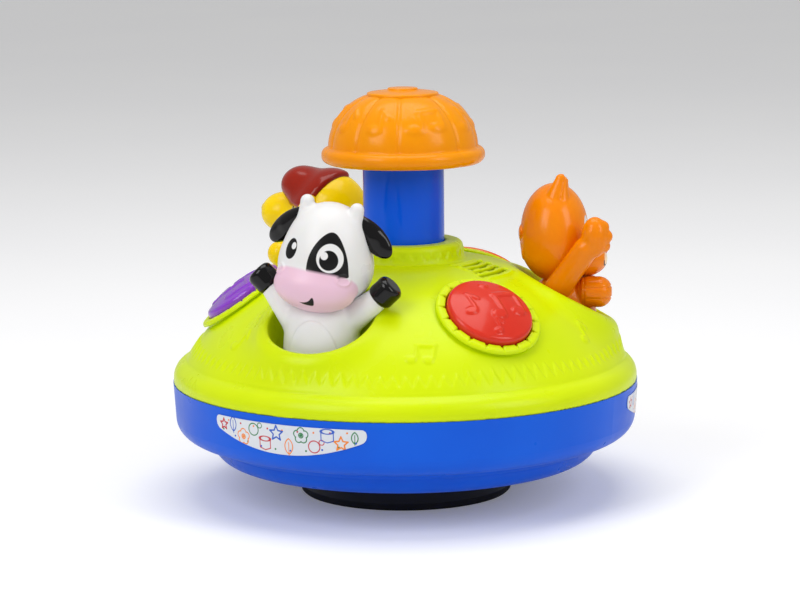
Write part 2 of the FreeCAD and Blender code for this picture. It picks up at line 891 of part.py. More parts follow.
def side_labels():
    """Three stickers on the shell's side, with straight tops and curved undersides."""
    top_radius = d.RimRadius + d.ShellLip
    slope = (top_radius - d.ShellBelly) / (d.SeamHeight - d.ShellBellyHeight)
    high_radius = top_radius - (d.SeamHeight - d.LabelTop) * slope
    low_radius = top_radius - (d.SeamHeight - d.LabelBottom) * slope
    labels = []
    for name, angle in FIGURE_ANGLES.items():
        strip = turned(
            f"{name}_label_strip",
            [
                (low_radius, d.LabelBottom),
                (low_radius + d.LabelThickness, d.LabelBottom),
                (high_radius + d.LabelThickness, d.LabelTop),
                (high_radius, d.LabelTop),
            ],
        )
        drop = d.LabelEnd - d.LabelBottom
        round_below = (float(d.LabelHalfWidth) ** 2 + float(drop) ** 2) / (2 * float(drop))
        outline = padded(
            f"{name}_label_outline",
            "XZ_Plane",
            [
                (-d.LabelHalfWidth, d.LabelEnd, LEFT, round_below),
                (d.LabelHalfWidth, d.LabelEnd),
                (d.LabelHalfWidth, d.LabelTop),
                (-d.LabelHalfWidth, d.LabelTop),
            ],
            2 * d.RimRadius,
        )
        label = common(f"{name}_label", strip, outline)
        label.Placement = around(angle)
        labels.append(label)
    return keep("side_labels", group("side_labels", *labels))


# ---- stand: base housing, foot ring, hub retainer, clutch ring, washer, screws ----

def base_housing():
    outer_low, outer_high = d.StandRadius, d.StandRadius - d.StandDraft
    wall = d.StandWall
    foot_inner = d.StandRadius - d.FootWidth
    skin = turned(
        "stand_skin",
        [
            (d.PilotRadius + d.PilotGap, d.BossTop),
            (d.PilotRadius + d.PilotGap, d.StandTop - 2 * wall),
            (d.BossRadius, d.StandTop - 2 * wall),
            (d.BossRadius, d.StandTop - wall),
            (foot_inner - wall, d.StandTop - wall),
            (foot_inner - wall, d.StandBottom),
            (foot_inner, d.StandBottom),
            (foot_inner, d.FootHeight),
            (outer_low, d.FootHeight),
            (outer_high, d.StandTop - wall, LEFT, wall),
            (outer_high - wall, d.StandTop),
            (d.BossRadius, d.StandTop),
            (d.BossRadius, d.BossTop),
        ],
    )
    solids, voids = [skin], []
    rib_length = foot_inner - wall - d.BossRadius
    for number in range(int(d.StandRibs)):
        spoke = around(360.0 * number / int(d.StandRibs), d.BossRadius + rib_length / 2, d.StandBottom)
        depth = d.StandTop - wall - d.StandBottom
        solids.append(block(f"stand_rib_{number}", wall / 2, rib_length + wall, depth, spoke))
    for number in range(3):
        hole_spot = around(120.0 * number, d.StandScrewRing, d.StandTop - 2 * wall - REACH)
        bore = d.ScrewRadius + d.ScrewGap
        voids.append(cylinder(f"stand_hole_{number}", bore, d.BossTop, hole_spot))
    solid = fuse("stand_solids", *solids)
    return keep("base_housing", cut("base_housing", solid, fuse("stand_voids", *voids)))


def base_foot_ring():
    """Soft ring under the stand: a flat tread with a lip that grips the housing's edge."""
    inner = d.StandRadius - d.FootWidth
    return keep("base_foot_ring", turned(
        "base_foot_ring",
        [
            (inner + d.PilotGap, 0.0),
            (d.StandRadius - d.FootHeight / 4, 0.0),
            (d.StandRadius, d.FootHeight / 4),
            (d.StandRadius, d.FootHeight),
            (inner + d.PilotGap, d.FootHeight),
        ],
    ))


def thrust_washer():
    return keep("thrust_washer", turned(
        "thrust_washer",
        [
            (d.BossRadius + d.HubGap, d.StandTop),
            (d.WasherOuter, d.StandTop),
            (d.WasherOuter, d.StandTop + d.WasherHeight),
            (d.BossRadius + d.HubGap, d.StandTop + d.WasherHeight),
        ],
    ))


clutch_seat = d.BossTop + d.RetainerHeight
clutch_top = clutch_seat + d.ClutchHeight
dog_bottom = clutch_top + d.ClutchGap
dog_top = dog_bottom + d.ToothHeight + d.DogHeight


def ring_with_holes(name, bore, outer, bottom, height):
    """A flat ring held down by the stand's three screws."""
    ring = turned(f"{name}_ring", [
        (bore, bottom), (outer, bottom), (outer, bottom + height), (bore, bottom + height)])
    holes = []
    for number in range(3):
        spot = around(120.0 * number, d.StandScrewRing, bottom - REACH)
        hole_height = height + 2 * REACH
        holes.append(cylinder(f"{name}_hole_{number}", d.ScrewRadius + d.ScrewGap, hole_height, spot))
    return cut(name, ring, fuse(f"{name}_holes", *holes))


def hub_retainer():
    bore = d.PilotRadius + d.PilotGap
    return keep("hub_retainer", ring_with_holes(
        "hub_retainer", bore, d.RetainerRadius, d.BossTop, d.RetainerHeight))


def crown_teeth(name, profile, tooth_base):
    """A turned body with a ring of square teeth standing on its flat face."""
    body = turned(name, profile)
    inner, outer = d.ClutchRadius - d.ToothHeight * 2, d.ClutchRadius + REACH
    pocket_ring(
        body,
        [
            (inner, -d.ToothWidth / 2), (outer, -d.ToothWidth / 2),
            (outer, d.ToothWidth / 2), (inner, d.ToothWidth / 2),
        ],
        tooth_base + d.ToothHeight,
        d.ToothHeight,
        d.ToothCount,
    )
    return body


def clutch_ring():
    """Fixed half of the clutch, with teeth on its upper edge."""
    bore = d.PilotRadius + d.PilotGap
    face = clutch_top - d.ToothHeight
    return keep("clutch_ring", crown_teeth(
        "clutch_ring",
        [
            (bore, clutch_seat), (d.ClutchRadius, clutch_seat), (d.ClutchRadius, clutch_top),
            (d.ClutchRadius - d.ToothHeight, clutch_top),
            (d.ClutchRadius - d.ToothHeight, face),
            (bore, face),
        ],
        face,
    ))


def base_screws():
    screws = []
    head_seat = d.StandTop - 2 * d.StandWall
    length = d.BossTop + d.RetainerHeight - head_seat
    for number in range(3):
        place = around(120.0 * number, d.StandScrewRing, head_seat)
        screws.append(pan_screw(f"base_screw_{number}", place, length))
    return keep("base_screws", group("base_screws", *screws))


# ---- drive: bearing plate, spiral screw, clutch dog, circlip, nut, spring ----

plate_top = d.BearingPlate + d.BearingPlateHeight


def bearing_plate():
    return keep("bearing_plate", turned(
        "bearing_plate",
        [
            (d.ScrewRod + d.JournalGap, d.BearingPlate),
            (d.TowerRadius + d.TowerWall, d.BearingPlate),
            (d.TowerRadius + d.TowerWall, plate_top),
            (d.ScrewRod + d.JournalGap, plate_top),
        ],
    ))


def drive_screw():
    """Spiral rod with two grooves, a plain journal and a pilot pin at its foot."""
    groove_start = plate_top + d.ClipGap + d.ClipHeight + REACH
    body = turned(
        "drive_screw",
        [
            (0.0, d.BossTop),
            (d.PilotRadius, d.BossTop),
            (d.PilotRadius, dog_bottom + d.ToothHeight),
            (d.ScrewCore, dog_bottom + d.ToothHeight),
            (d.ScrewCore, dog_top),
            (d.ScrewRod, dog_top),
            (d.ScrewRod, d.ScrewTop),
            (0.0, d.ScrewTop),
        ],
    )
    for side in (1, -1):
        low = groove_start
        groove = body.newObject("PartDesign::SubtractiveHelix", f"spiral_groove_{side}")
        groove.Profile = new_sketch(body, "XZ_Plane", [[
            (side * d.ScrewCore, low),
            (side * (d.ScrewRod + REACH), low),
            (side * (d.ScrewRod + REACH), low + d.ScrewGrooveWidth),
            (side * d.ScrewCore, low + d.ScrewGrooveWidth),
        ]])
        groove.ReferenceAxis = (groove.Profile[0], ["V_Axis"])
        groove.Mode = "pitch-height-angle"
        bind(groove, "Pitch", d.ScrewLead)
        bind(groove, "Height", d.ScrewTop - low + d.ScrewGrooveWidth)
    return keep("drive_screw", body)


def clutch_dog():
    """Driving half of the clutch, fixed on the screw, with teeth on its lower edge."""
    root = dog_bottom + d.ToothHeight
    body = turned(
        "clutch_dog",
        [
            (d.ScrewCore, root), (d.DogRadius - d.ToothHeight, root),
            (d.DogRadius - d.ToothHeight, dog_bottom), (d.DogRadius, dog_bottom),
            (d.DogRadius, dog_top), (d.ScrewCore, dog_top),
        ],
    )
    inner, outer = d.DogRadius - 2 * d.ToothHeight, d.DogRadius + REACH
    pocket_ring(
        body,
        [
            (inner, -d.ToothWidth / 2), (outer, -d.ToothWidth / 2),
            (outer, d.ToothWidth / 2), (inner, d.ToothWidth / 2),
        ],
        root,
        d.ToothHeight,
        d.ToothCount,
    )
    return keep("clutch_dog", body)


def screw_circlip():
    low = plate_top + d.ClipGap
    return keep("screw_circlip", turned(
        "screw_circlip",
        [
            (d.ScrewRod, low), (d.ClipRadius, low),
            (d.ClipRadius, low + d.ClipHeight), (d.ScrewRod, low + d.ClipHeight),
        ],
    ))


nut_bore = d.ScrewRod + d.NutGap
nut_outer = d.PostRadius - d.PostWall


def lug_angle(height):
    """Turn of the screw's first groove about Z at a height, in degrees from +X."""
    groove_middle = plate_top + d.ClipGap + d.ClipHeight + REACH + d.ScrewGrooveWidth / 2
    return 360.0 * float(height - groove_middle) / float(d.ScrewLead)


def drive_nut():
    """Ring in the post's foot with two round lugs that ride in the screw's grooves."""
    low = d.PostBottom
    ring = turned("nut_ring", [
        (nut_bore, low), (nut_outer, low), (nut_outer, low + d.NutHeight), (nut_bore, low + d.NutHeight)])
    middle = low + d.NutHeight / 2
    lugs = []
    for turn in (0.0, 180.0):
        tip = d.ScrewCore + d.LugReach
        length = nut_outer - d.PostWall - tip
        frame = at(z=middle, angle=lug_angle(middle) + turn) * at(x=tip, axis=ALONG_Y, angle=90.0)
        lugs.append(cylinder("nut_lug", d.LugRadius, length, frame))
    return keep("drive_nut", fuse("drive_nut", ring, *lugs))


def return_spring():
    """Coil spring between the bearing plate and the nut, swept along a helix."""
    wire = float(d.SpringWire)
    low, high = float(plate_top) + wire, float(d.PostBottom) - wire
    helix = Part.makeHelix((high - low) / int(d.SpringTurns), high - low, float(d.SpringRadius))
    section = Part.Wire(Part.makeCircle(wire, Vector(float(d.SpringRadius), 0, 0), ALONG_Y))
    coil = Part.Wire(helix).makePipeShell([section], True, True)
    spring = doc.addObject("Part::Feature", "return_spring")
    spring.Shape = coil
    spring.Placement = at(z=low)
    return keep("return_spring", spring)


# ---- plunger: guide tube, post, cap ----

def key_block(name, width, reach, low, high, side):
    """A key or keyway on the post's flank, from its middle out to a reach."""
    inner = d.PostRadius - d.PostWall / 2
    length = reach - inner
    spot = at(x=side * (inner + length / 2), z=low)
    return block(name, length, width, high - low, spot)


key_reach = d.PostRadius + d.KeyHeight


def plunger_guide():
    bore = post_hole
    outer = d.PostRadius + d.GuideWall
    top = guide_seat
    tube = turned(
        "guide_tube",
        [
            (bore, plate_top), (outer, plate_top), (outer, top - d.GuideFlangeHeight),
            (d.GuideFlange, top - d.GuideFlangeHeight), (d.GuideFlange, top), (bore, top),
        ],
    )
    ways = [
        key_block("keyway", d.KeyWidth + 2 * d.SlideGap, key_reach + d.SlideGap,
                  plate_top - REACH, top + REACH, side)
        for side in (-1, 1)
    ]
    return keep("plunger_guide", cut("plunger_guide", tube, fuse("keyways", *ways)))


def plunger_post():
    """Hollow post with a closed top, a bore for the nut and two keys on its flanks."""
    ledge = d.PostBottom + d.NutHeight
    skin = turned(
        "post_skin",
        [
            (nut_outer, d.PostBottom), (d.PostRadius, d.PostBottom),
            (d.PostRadius, d.PostTop), (0.0, d.PostTop), (0.0, d.PostTop - d.PostWall),
            (nut_outer - d.PostWall, d.PostTop - d.PostWall), (nut_outer - d.PostWall, ledge),
            (nut_outer, ledge),
        ],
    )
    keys = [
        key_block("key", d.KeyWidth, key_reach, d.PostBottom, guide_seat - d.SlideGap, side)
        for side in (-1, 1)
    ]
    holes = []
    for number in range(3):
        spot = around(120.0 * number, d.CapScrewRing, d.PostTop - d.PostWall - REACH)
        hole = d.PostWall + 2 * REACH
        holes.append(cylinder(f"cap_screw_hole_{number}", d.ScrewRadius + d.ScrewGap, hole, spot))
    solid = fuse("post_solids", skin, *keys)
    return keep("plunger_post", cut("plunger_post", solid, fuse("post_holes", *holes)))


def cap_shell():
    """Hollow mushroom cap with a rolled rim, grooves between its lobes and a socket inside."""
    wall = d.CapWall
    socket_bore = d.PostRadius + d.SlideGap / 2
    socket_outer = socket_bore + d.CapSocketWall
    rim_middle = d.CapRimTop - d.CapRimRound
    arc_high = d.CapTop
    skin = turned(
        "cap_skin",
        [
            (d.CapNeckRadius - wall, d.CapRimBottom),
            (d.CapRimRadius - d.CapRimRound / 2, d.CapRimBottom),
            (d.CapRimRadius, rim_middle, LEFT, d.CapRimRound),
            (d.CapNeckRadius, d.CapRimTop, LEFT, d.CapArc),
            (d.CapTopRadius, arc_high),
            (0.0, arc_high),
            (0.0, d.PostTop),
            (socket_bore, d.PostTop),
            (socket_bore, d.PostTop - d.CapSocketDepth),
            (socket_outer, d.PostTop - d.CapSocketDepth),
            (socket_outer, d.PostTop - wall, RIGHT, d.CapArc - wall),
            (d.CapNeckRadius - wall, d.CapRimTop - wall),
        ],
    )
    centre = arc_centre((d.CapNeckRadius, d.CapRimTop), (d.CapTopRadius, arc_high), d.CapArc)
    first = math.degrees(math.atan2(d.CapRimTop - centre[1], d.CapNeckRadius - centre[0]))
    last = math.degrees(math.atan2(arc_high - centre[1], d.CapTopRadius - centre[0]))
    upright = Placement(Vector(), Rotation(-ALONG_Y, ALONG_Z, -ALONG_X, "XYZ"))
    grooves = []
    for number in range(int(d.CapLobes)):
        angle = 360.0 * (number + 0.5) / int(d.CapLobes)
        spot = around(angle, centre[0], centre[1]) * upright * at(angle=first)
        reach = d.CapArc + d.CapGroove - d.CapGrooveDepth
        groove = primitive("Torus", f"cap_groove_{number}", spot, Radius1=reach, Radius2=d.CapGroove)
        groove.Angle3 = last - first
        grooves.append(groove)
    grooved = cut("cap_grooved", skin, group("cap_grooves", *grooves))
    holes = []
    for number in range(3):
        spot = around(120.0 * number, d.CapScrewRing, d.PostTop - REACH)
        hole = REACH + (d.CapTop - d.PostTop) / 2
        holes.append(cylinder(f"cap_hole_{number}", d.ScrewRadius + d.ScrewGap, hole, spot))
    return keep("cap_shell", cut("cap_shell", grooved, fuse("cap_holes", *holes)))


def cap_top_disc():
    base = d.CapTop
    high = base + d.CrownHeight
    peak = high + d.ButtonTopHeight
    soft = d.CrownRound
    return keep("cap_top_disc", turned(
        "cap_top_disc",
        [
            (0.0, base),
            (d.CrownRadius, base),
            (d.CrownRadius, high - soft, LEFT, soft),
            (d.CrownRadius - soft, high),
            (d.ButtonTopRadius, high),
            (d.ButtonTopRadius, peak - soft, LEFT, soft),
            (d.ButtonTopRadius - soft, peak),
            (0.0, peak),
        ],
    ))


def cap_screws():
    screws = []
    length = d.PostWall + (d.CapTop - d.PostTop) / 2
    for number in range(3):
        place = around(120.0 * number, d.CapScrewRing, d.PostTop - d.PostWall)
        screws.append(pan_screw(f"cap_screw_{number}", place, length))
    return keep("cap_screws", group("cap_screws", *screws))


# ---- buttons, their boards and lamps ----

def push_button(colour, frame):
    """Domed button with a hollow skirt that slides in its sleeve, and a stem over the switch."""
    radius, wall, edge = d.ButtonRadius, d.ButtonWall, d.ButtonEdge
    crown = (float(radius) ** 2 + float(d.ButtonCrown) ** 2) / (2 * float(d.ButtonCrown))
    inside = radius - wall
    under = edge + d.ButtonCrown - wall
    inner_crown = (float(inside) ** 2 + float(d.ButtonCrown) ** 2) / (2 * float(d.ButtonCrown))
    stem_end = -d.SleeveDepth + d.SwitchHeight + d.ButtonTravel + d.ButtonGap
    body = turned(
        f"{colour}_button",
        [
            (radius, -d.ButtonSkirt),
            (radius, edge, LEFT, crown),
            (0.0, edge + d.ButtonCrown),
            (0.0, stem_end),
            (d.ButtonStem, stem_end),
            (d.ButtonStem, under - wall / 2),
            (inside, edge - wall / 2),
            (inside, -d.ButtonSkirt),
        ],
    )
    body.Placement = frame
    return keep(f"{colour}_button", body)


def button_boards():
    """A round board under each button's sleeve, with its switch."""
    boards = []
    for name, frame in button_frames.items():
        disc_radius = d.ButtonRadius + d.ButtonGap + d.SleeveWall
        low = -d.SleeveDepth - d.SwitchBoardThickness
        disc = cylinder(f"{name}_board", disc_radius, d.SwitchBoardThickness, frame * at(z=low))
        top = frame * at(z=-d.SleeveDepth)
        switch = block(f"{name}_switch", d.SwitchSize, d.SwitchSize, d.SwitchHeight, top)
        boards.append(fuse(f"{name}_board_set", disc, switch))
    return keep("button_boards", group("button_boards", *boards))


def button_leds():
    lamps = []
    for name, frame in button_frames.items():
        place = frame * at(x=d.LedOffset, z=-d.SleeveDepth)
        body_height = d.LedHeight - d.LedRadius
        rod = cylinder(f"{name}_led_rod", d.LedRadius, body_height, place)
        lens = primitive("Sphere", f"{name}_led_lens", place * at(z=body_height), Radius=d.LedRadius)
        lens.Angle1 = 0.0
        lamps.append(fuse(f"{name}_led", rod, lens))
    return keep("button_leds", group("button_leds", *lamps))


# ---- battery bay, circuit board, power switch, speaker ----

def battery_box():
    """Open-bottomed tub over the bay opening, with a solid end that takes the door's screw."""
    wall = d.BayWall
    place = door_frame * at(z=d.ShellWall)
    length, width = opening_length + 2 * wall, d.BayWidth + 2 * wall
    outside = block("tub_outside", length, width, d.BayHeight, place)
    lift = at(z=d.ShellWall)
    inside = block("tub_inside", d.BayLength, d.BayWidth, d.BayHeight - wall, bay_frame * lift)
    hole = d.ScrewRadius + d.ScrewGap
    bore = cylinder("tub_screw_hole", hole, d.BayHeight - wall, screw_block_frame * lift)
    return keep("battery_box", cut("battery_box", outside, fuse("tub_voids", inside, bore)))


def battery_door():
    """Flush door with a hole for its sunken screw."""
    gap = d.DoorGap
    plate = block("door_plate", opening_length - 2 * gap, d.BayWidth - 2 * gap, d.DoorThickness, door_frame)
    hole = cylinder("door_hole", d.ScrewHead + d.ScrewGap, d.DoorThickness, screw_block_frame)
    return keep("battery_door", cut("battery_door", plate, hole))


def battery_door_screw():
    place = screw_block_frame * at(z=d.ShellWall)
    return keep("battery_door_screw", pan_screw("battery_door_screw", place, d.BayHeight - 2 * d.BayWall))


def batteries():
    cells = []
    height = d.ShellWall + d.CellRadius + d.DoorGap
    for side in (-1, 1):
        start = at(x=-d.CellLength / 2, y=side * d.CellPitch / 2, z=height, axis=ALONG_Y, angle=90.0)
        cell = cylinder("cell", d.CellRadius, d.CellLength - d.ContactThickness, bay_frame * start)
        tip_place = bay_frame * start * at(z=d.CellLength - d.ContactThickness)
        tip = cylinder("cell_tip", d.CellRadius / 3, d.ContactThickness, tip_place)
        cells.append(fuse("cell_set", cell, tip))
    return keep("batteries", group("batteries", *cells))


def battery_contacts():
    """Sprung plates at both ends of the two cells."""
    plates = []
    height = d.ShellWall + d.DoorGap
    for end in (-1, 1):
        place = bay_frame * at(x=end * (d.CellLength + d.ContactThickness) / 2, z=height)
        width = d.BayWidth - d.BayWall
        plates.append(block("contact", d.ContactThickness, width, 2 * d.CellRadius, place))
    return keep("battery_contacts", group("battery_contacts", *plates))


def main_circuit_board():
    """Board on two standoffs, with the chip's round cover and two capacitors."""
    frame = around(BOARD_ANGLE, d.BoardRing, d.BoardHeight)
    plate = block("board_plate", d.BoardLength, d.BoardWidth, d.BoardThickness, frame)
    top = frame * at(z=d.BoardThickness)
    chip = cone("chip_cover", d.CellRadius, d.CellRadius / 2, d.BoardThickness, top)
    parts = [plate, chip]
    for side in (-1, 1):
        spot = top * at(x=side * d.BoardLength / 4, y=d.BoardWidth / 4)
        parts.append(cylinder("capacitor", d.StandoffRadius, 2 * d.CellRadius, spot))
    return keep("main_circuit_board", fuse("main_circuit_board", *parts))


knob_frame = around(BOARD_ANGLE, d.KnobRing, d.ShellFloor)


def power_switch():
    """Fixed switch body above the slot in the shell's floor."""
    low = d.ShellWall + d.KnobGap
    height = d.BoardHeight - d.ShellFloor - low
    return keep("power_switch_body", block(
        "power_switch_body", d.SwitchBodyLength, d.SwitchBodyWidth, height, knob_frame * at(z=low)))


def power_knob():
    place = knob_frame * at(x=-d.KnobTravel / 2)
    tall = d.ShellWall + d.KnobGap / 4
    return keep("power_switch_knob", block(
        "power_switch_knob", d.KnobLength, d.KnobWidth, tall, place))


def speaker():
    """Speaker under the dome's slots: a round frame with a smaller magnet behind it."""
    seat = on_dome(SPEAKER_ANGLE, d.SpeakerRing, d.DomeWall)
    front = cylinder("speaker_frame", d.SpeakerRadius, d.SpeakerHeight / 2,
                     seat * at(z=-d.SpeakerHeight / 2))
    magnet = cylinder("speaker_magnet", d.SpeakerRadius / 2, d.SpeakerHeight, seat * at(z=-d.SpeakerHeight))
    return keep("speaker", fuse("speaker", front, magnet))


# ---- animals ----

def torso(name):
    """Hollow body turned about its own axis, standing on the cup's floor, open at the neck."""
    wall = d.TorsoWall
    top = d.TorsoHeight
    shoulder = top - d.NeckStub
    slope = d.TorsoRadius - d.NeckRadius
    outer = [
        (d.ScrewRadius + d.ScrewGap, 0.0),
        (d.TorsoHip, 0.0, LEFT, d.TorsoRadius),
        (d.TorsoRadius, d.TorsoBelly),
        (d.TorsoRadius, shoulder - slope, LEFT, slope),
        (d.NeckRadius, shoulder),
        (d.NeckRadius, top),
    ]
    inner = [
        (d.NeckRadius - wall, top),
        (d.NeckRadius - wall, shoulder - wall),
        (d.NeckRadius, shoulder - wall, RIGHT, slope - wall),
        (d.TorsoRadius - wall, shoulder - slope),
        (d.TorsoRadius - wall, d.TorsoBelly),
        (d.TorsoHip - wall, 2 * wall),
        (d.ScrewRadius + d.ScrewGap, 2 * wall),
    ]
    return turned(f"{name}_torso", outer + inner)


def spot(side, spread, forward, rise):
    """A point beside an animal, from the middle of the cup's floor."""
    return Vector(side * float(spread), -float(forward), float(rise))


def arm(name, side, *joints):
    """Arm from a shoulder through the given (spread, forward, rise) points, and its points."""
    points = [spot(side, d.ShoulderSpread, 0.0, d.ShoulderRise)]
    points += [spot(side, *joint) for joint in joints]
    solids = []
    for start, end in zip(points, points[1:]):
        solids += capsule(name, start, end, d.ArmRadius)
    return solids, points


def hollow_head(name, solids, radius, side, centre):
    """Join the solids of a head and hollow out its main ball, open at the neck below."""
    hollow = pill(f"{name}_head_hollow", radius - d.HeadWall, side, centre)
    neck = cylinder(f"{name}_neck_hole", d.NeckRadius + d.SlideGap, head_rise, at())
    head = fuse(f"{name}_head_solids", *solids)
    return cut(f"{name}_head", head, fuse(f"{name}_voids", hollow, neck))


def tilted_pair(name, radius, half_length, centre, spread, lift, droop):
    """Two round lobes, one each side of a head, leaning by the droop, given for the right one."""
    lobes = []
    for side in (-1, 1):
        place = centre * at(x=side * spread, z=lift, axis=ALONG_Y, angle=side * droop)
        lobes.append(egg(name, radius, half_length, place))
    return group(f"{name}_pair", *lobes)


def muzzle(name, radius, side, forward, drop, lean=at()):
    """Rounded muzzle that lies across the front of a head."""
    place = lean * at(y=-forward, z=head_rise - drop, axis=ALONG_Y, angle=90.0)
    return pill(f"{name}_muzzle", radius, side, place)


def place_animal(name, pieces):
    """Carry an animal's finished pieces from its own frame to its cup, and keep them."""
    frame = around(FIGURE_ANGLES[name], d.CupRing, d.CupFloor) * at(angle=FIGURE_TURN)
    for label, item in pieces.items():
        item.Placement = frame
        keep(f"{name}_{label}", item)


head_rise = d.HeadHeight - d.CupFloor


def head_centre(radius, side):
    """Where the main ball of a head is centred, so that each neck reaches as far into its head."""
    return at(z=d.TorsoHeight - d.NeckReach + radius + side)


def hoof(shoulder, palm):
    """Barrel with rounded edges that caps the end of an arm."""
    edge = d.HoofEdge
    barrel = turned(
        "cow_hoof",
        [
            (0.0, 0.0),
            (d.HoofRadius - edge, 0.0, LEFT, edge),
            (d.HoofRadius, edge),
            (d.HoofRadius, d.HoofLength - edge, LEFT, edge),
            (d.HoofRadius - edge, d.HoofLength),
            (0.0, d.HoofLength),
        ],
    )
    way = palm - shoulder
    foot = palm - way * (d.HoofCover / way.Length)
    barrel.Placement = Placement(foot, Rotation(ALONG_Z, way))
    return barrel


def cow():
    ball = (d.HeadRadius, d.HeadSide)
    lean = at(z=d.TorsoHeight, axis=ALONG_Y, angle=COW_LEAN) * at(z=-d.TorsoHeight)
    head = lean * head_centre(*ball)
    left, left_points = arm("cow_left", -1, (d.ArmSpread, 0.0, d.LeftArmRise))
    right, right_points = arm("cow_right", 1, (d.ArmSpread, 0.0, d.RightArmRise))
    solids = [
        pill("cow_skull", *ball, head),
        muzzle("cow", d.MuzzleRadius, d.MuzzleSide, d.MuzzleForward, d.MuzzleDrop, lean),
    ]
    for side in (-1, 1):
        foot = head * at(x=side * d.HornSpread, z=d.HornRise, axis=ALONG_Y, angle=side * HORN_LEAN)
        solids.append(cone("cow_horn", d.HornRadius, d.HornTip, d.HornLength, foot))
    ears = tilted_pair("cow_ear", d.EarRadius, d.EarLength, head, d.EarSpread, d.EarLift, -EAR_DROOP)
    hooves = group("cow_hoof_pair", hoof(*left_points), hoof(*right_points))
    seat = pill("cow_ear_seat", d.HeadRadius + d.SlideGap, d.HeadSide, head)
    place_animal("cow", {
        "body": fuse("cow_body", torso("cow"), *left, *right),
        "head": hollow_head("cow", solids, *ball, head),
        "ears": cut("cow_ears", ears, seat),
        "hooves": cut("cow_hooves", hooves, fuse("cow_arms", *left, *right)),
    })


def cat():
    ball = (d.CatHeadRadius, d.CatHeadSide)
    head = head_centre(*ball)
    raised, raised_points = arm(
        "cat_raised",
        -1,
        (d.ElbowSpread, d.ElbowForward, d.ElbowRise),
        (d.PawSpread, d.PawForward, d.PawRise),
    )
    folded, _ = arm("cat_folded", 1, (d.FistSpread, d.FistForward, d.FistRise))
    paw = primitive("Sphere", "cat_paw", at(*raised_points[-1]), Radius=d.PawRadius)
    forward = at(x=-d.FistSpread, y=-d.FistForward, z=d.FistRise, axis=ALONG_X, angle=90.0)
    fist = pill("cat_fist", d.PawRadius, d.FistSide, forward)
    solids = [
        pill("cat_skull", *ball, head),
        muzzle("cat", d.CatMuzzleRadius, d.CatMuzzleSide, d.CatMuzzleForward, d.CatMuzzleDrop),
    ]
    for side in (-1, 1):
        foot = head * at(x=side * d.CatEarSpread, z=d.CatEarRise, axis=ALONG_Y, angle=side * CAT_EAR_LEAN)
        solids.append(cone("cat_ear", d.CatEarRadius, d.CatEarTip, d.CatEarLength, foot))
    place_animal("cat", {
        "body": fuse("cat_body", torso("cat"), *raised, *folded, paw, fist),
        "head": hollow_head("cat", solids, *ball, head),
    })


def pony_head_form(name, ball):
    """Solid skull with a tapered snout and a round muzzle."""
    forward = at(y=-d.SnoutStart, z=head_rise + d.SnoutRise, axis=ALONG_X, angle=90.0)
    return [
        pill(f"{name}_skull", *ball, head_centre(*ball)),
        cone(f"{name}_snout", d.SnoutRadius, d.SnoutTip, d.SnoutLength, forward),
        muzzle(name, d.PonyMuzzleRadius, d.PonyMuzzleSide, d.SnoutStart + d.SnoutLength, -d.SnoutRise),
    ]


def pony():
    ball = (d.PonyHeadRadius, d.PonyHeadSide)
    head = head_centre(*ball)
    left, _ = arm("pony_left", -1, (d.PonyArmSpread, d.PonyArmForward, d.PonyArmRise))
    right, _ = arm("pony_right", 1, (d.PonyArmSpread, d.PonyArmForward, d.PonyArmRise))
    ears = tilted_pair(
        "pony_ear", d.PonyEarRadius, d.PonyEarLength, head, d.PonyEarSpread, d.PonyEarLift, -EAR_DROOP)
    forelock = head * at(y=-d.ForelockForward, z=d.ForelockRise)
    crest = head * at(y=d.ManeBack, z=d.ManeRise, axis=ALONG_X, angle=90.0)
    seat = pill("pony_ear_seat", d.PonyHeadRadius + d.SlideGap, d.PonyHeadSide, head)
    mane = fuse(
        "pony_mane_form",
        primitive("Sphere", "pony_forelock", forelock, Radius=d.ForelockRadius),
        pill("pony_crest", d.ManeRadius, d.ManeSide, crest),
    )
    place_animal("pony", {
        "body": fuse("pony_body", torso("pony"), *left, *right),
        "head": hollow_head("pony", pony_head_form("pony", ball), *ball, head),
        "ears": cut("pony_ears", ears, seat),
        "mane": cut("pony_mane", mane, fuse("pony_mane_tool", *pony_head_form("pony_tool", ball))),
    })


def figure_screws():
    screws = []
    for name, angle in FIGURE_ANGLES.items():
        seat = around(angle, d.CupRing, d.CupFloor - d.CupWall)
        screws.append(pan_screw(f"{name}_screw", seat, d.FigureScrewLength - d.CupWall))
    return keep("figure_screws", group("figure_screws", *screws))


# ---- build every sub-part, check it and write it ----

base_housing()
base_foot_ring()
thrust_washer()
hub_retainer()
clutch_ring()
base_screws()
lower_shell()
upper_dome()
shell_screws()
side_labels()
bearing_plate()
plunger_guide()
battery_box()
battery_door()
battery_door_screw()
batteries()
battery_contacts()
main_circuit_board()
power_switch()
power_knob()
speaker()
button_boards()
button_leds()
for colour, button_frame in button_frames.items():
    push_button(colour, button_frame)
drive_screw()
clutch_dog()
screw_circlip()
return_spring()
drive_nut()
plunger_post()
cap_shell()
cap_top_disc()
cap_screws()
cow()
cat()
pony()
figure_screws()
doc.recompute()

faults = [item.Name for item in doc.Objects if {"Invalid", "Error"} & set(item.State)]
for label, item in nodes.items():
    if item.Shape.isNull() or not item.Shape.isValid() or not item.Shape.Solids:
        faults.append(label)
if faults:
    raise RuntimeError(f"these objects did not build: {faults}")

os.makedirs("parts", exist_ok=True)
for label, item in nodes.items():
    item.Shape.exportStep(f"parts/{label}.step")
print(f"{len(nodes)} sub-parts written")
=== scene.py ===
import json
from math import asin, cos, degrees, hypot, pi, radians, sin, sqrt, tan

import bpy
import numpy as np
from mathutils import Matrix, Vector


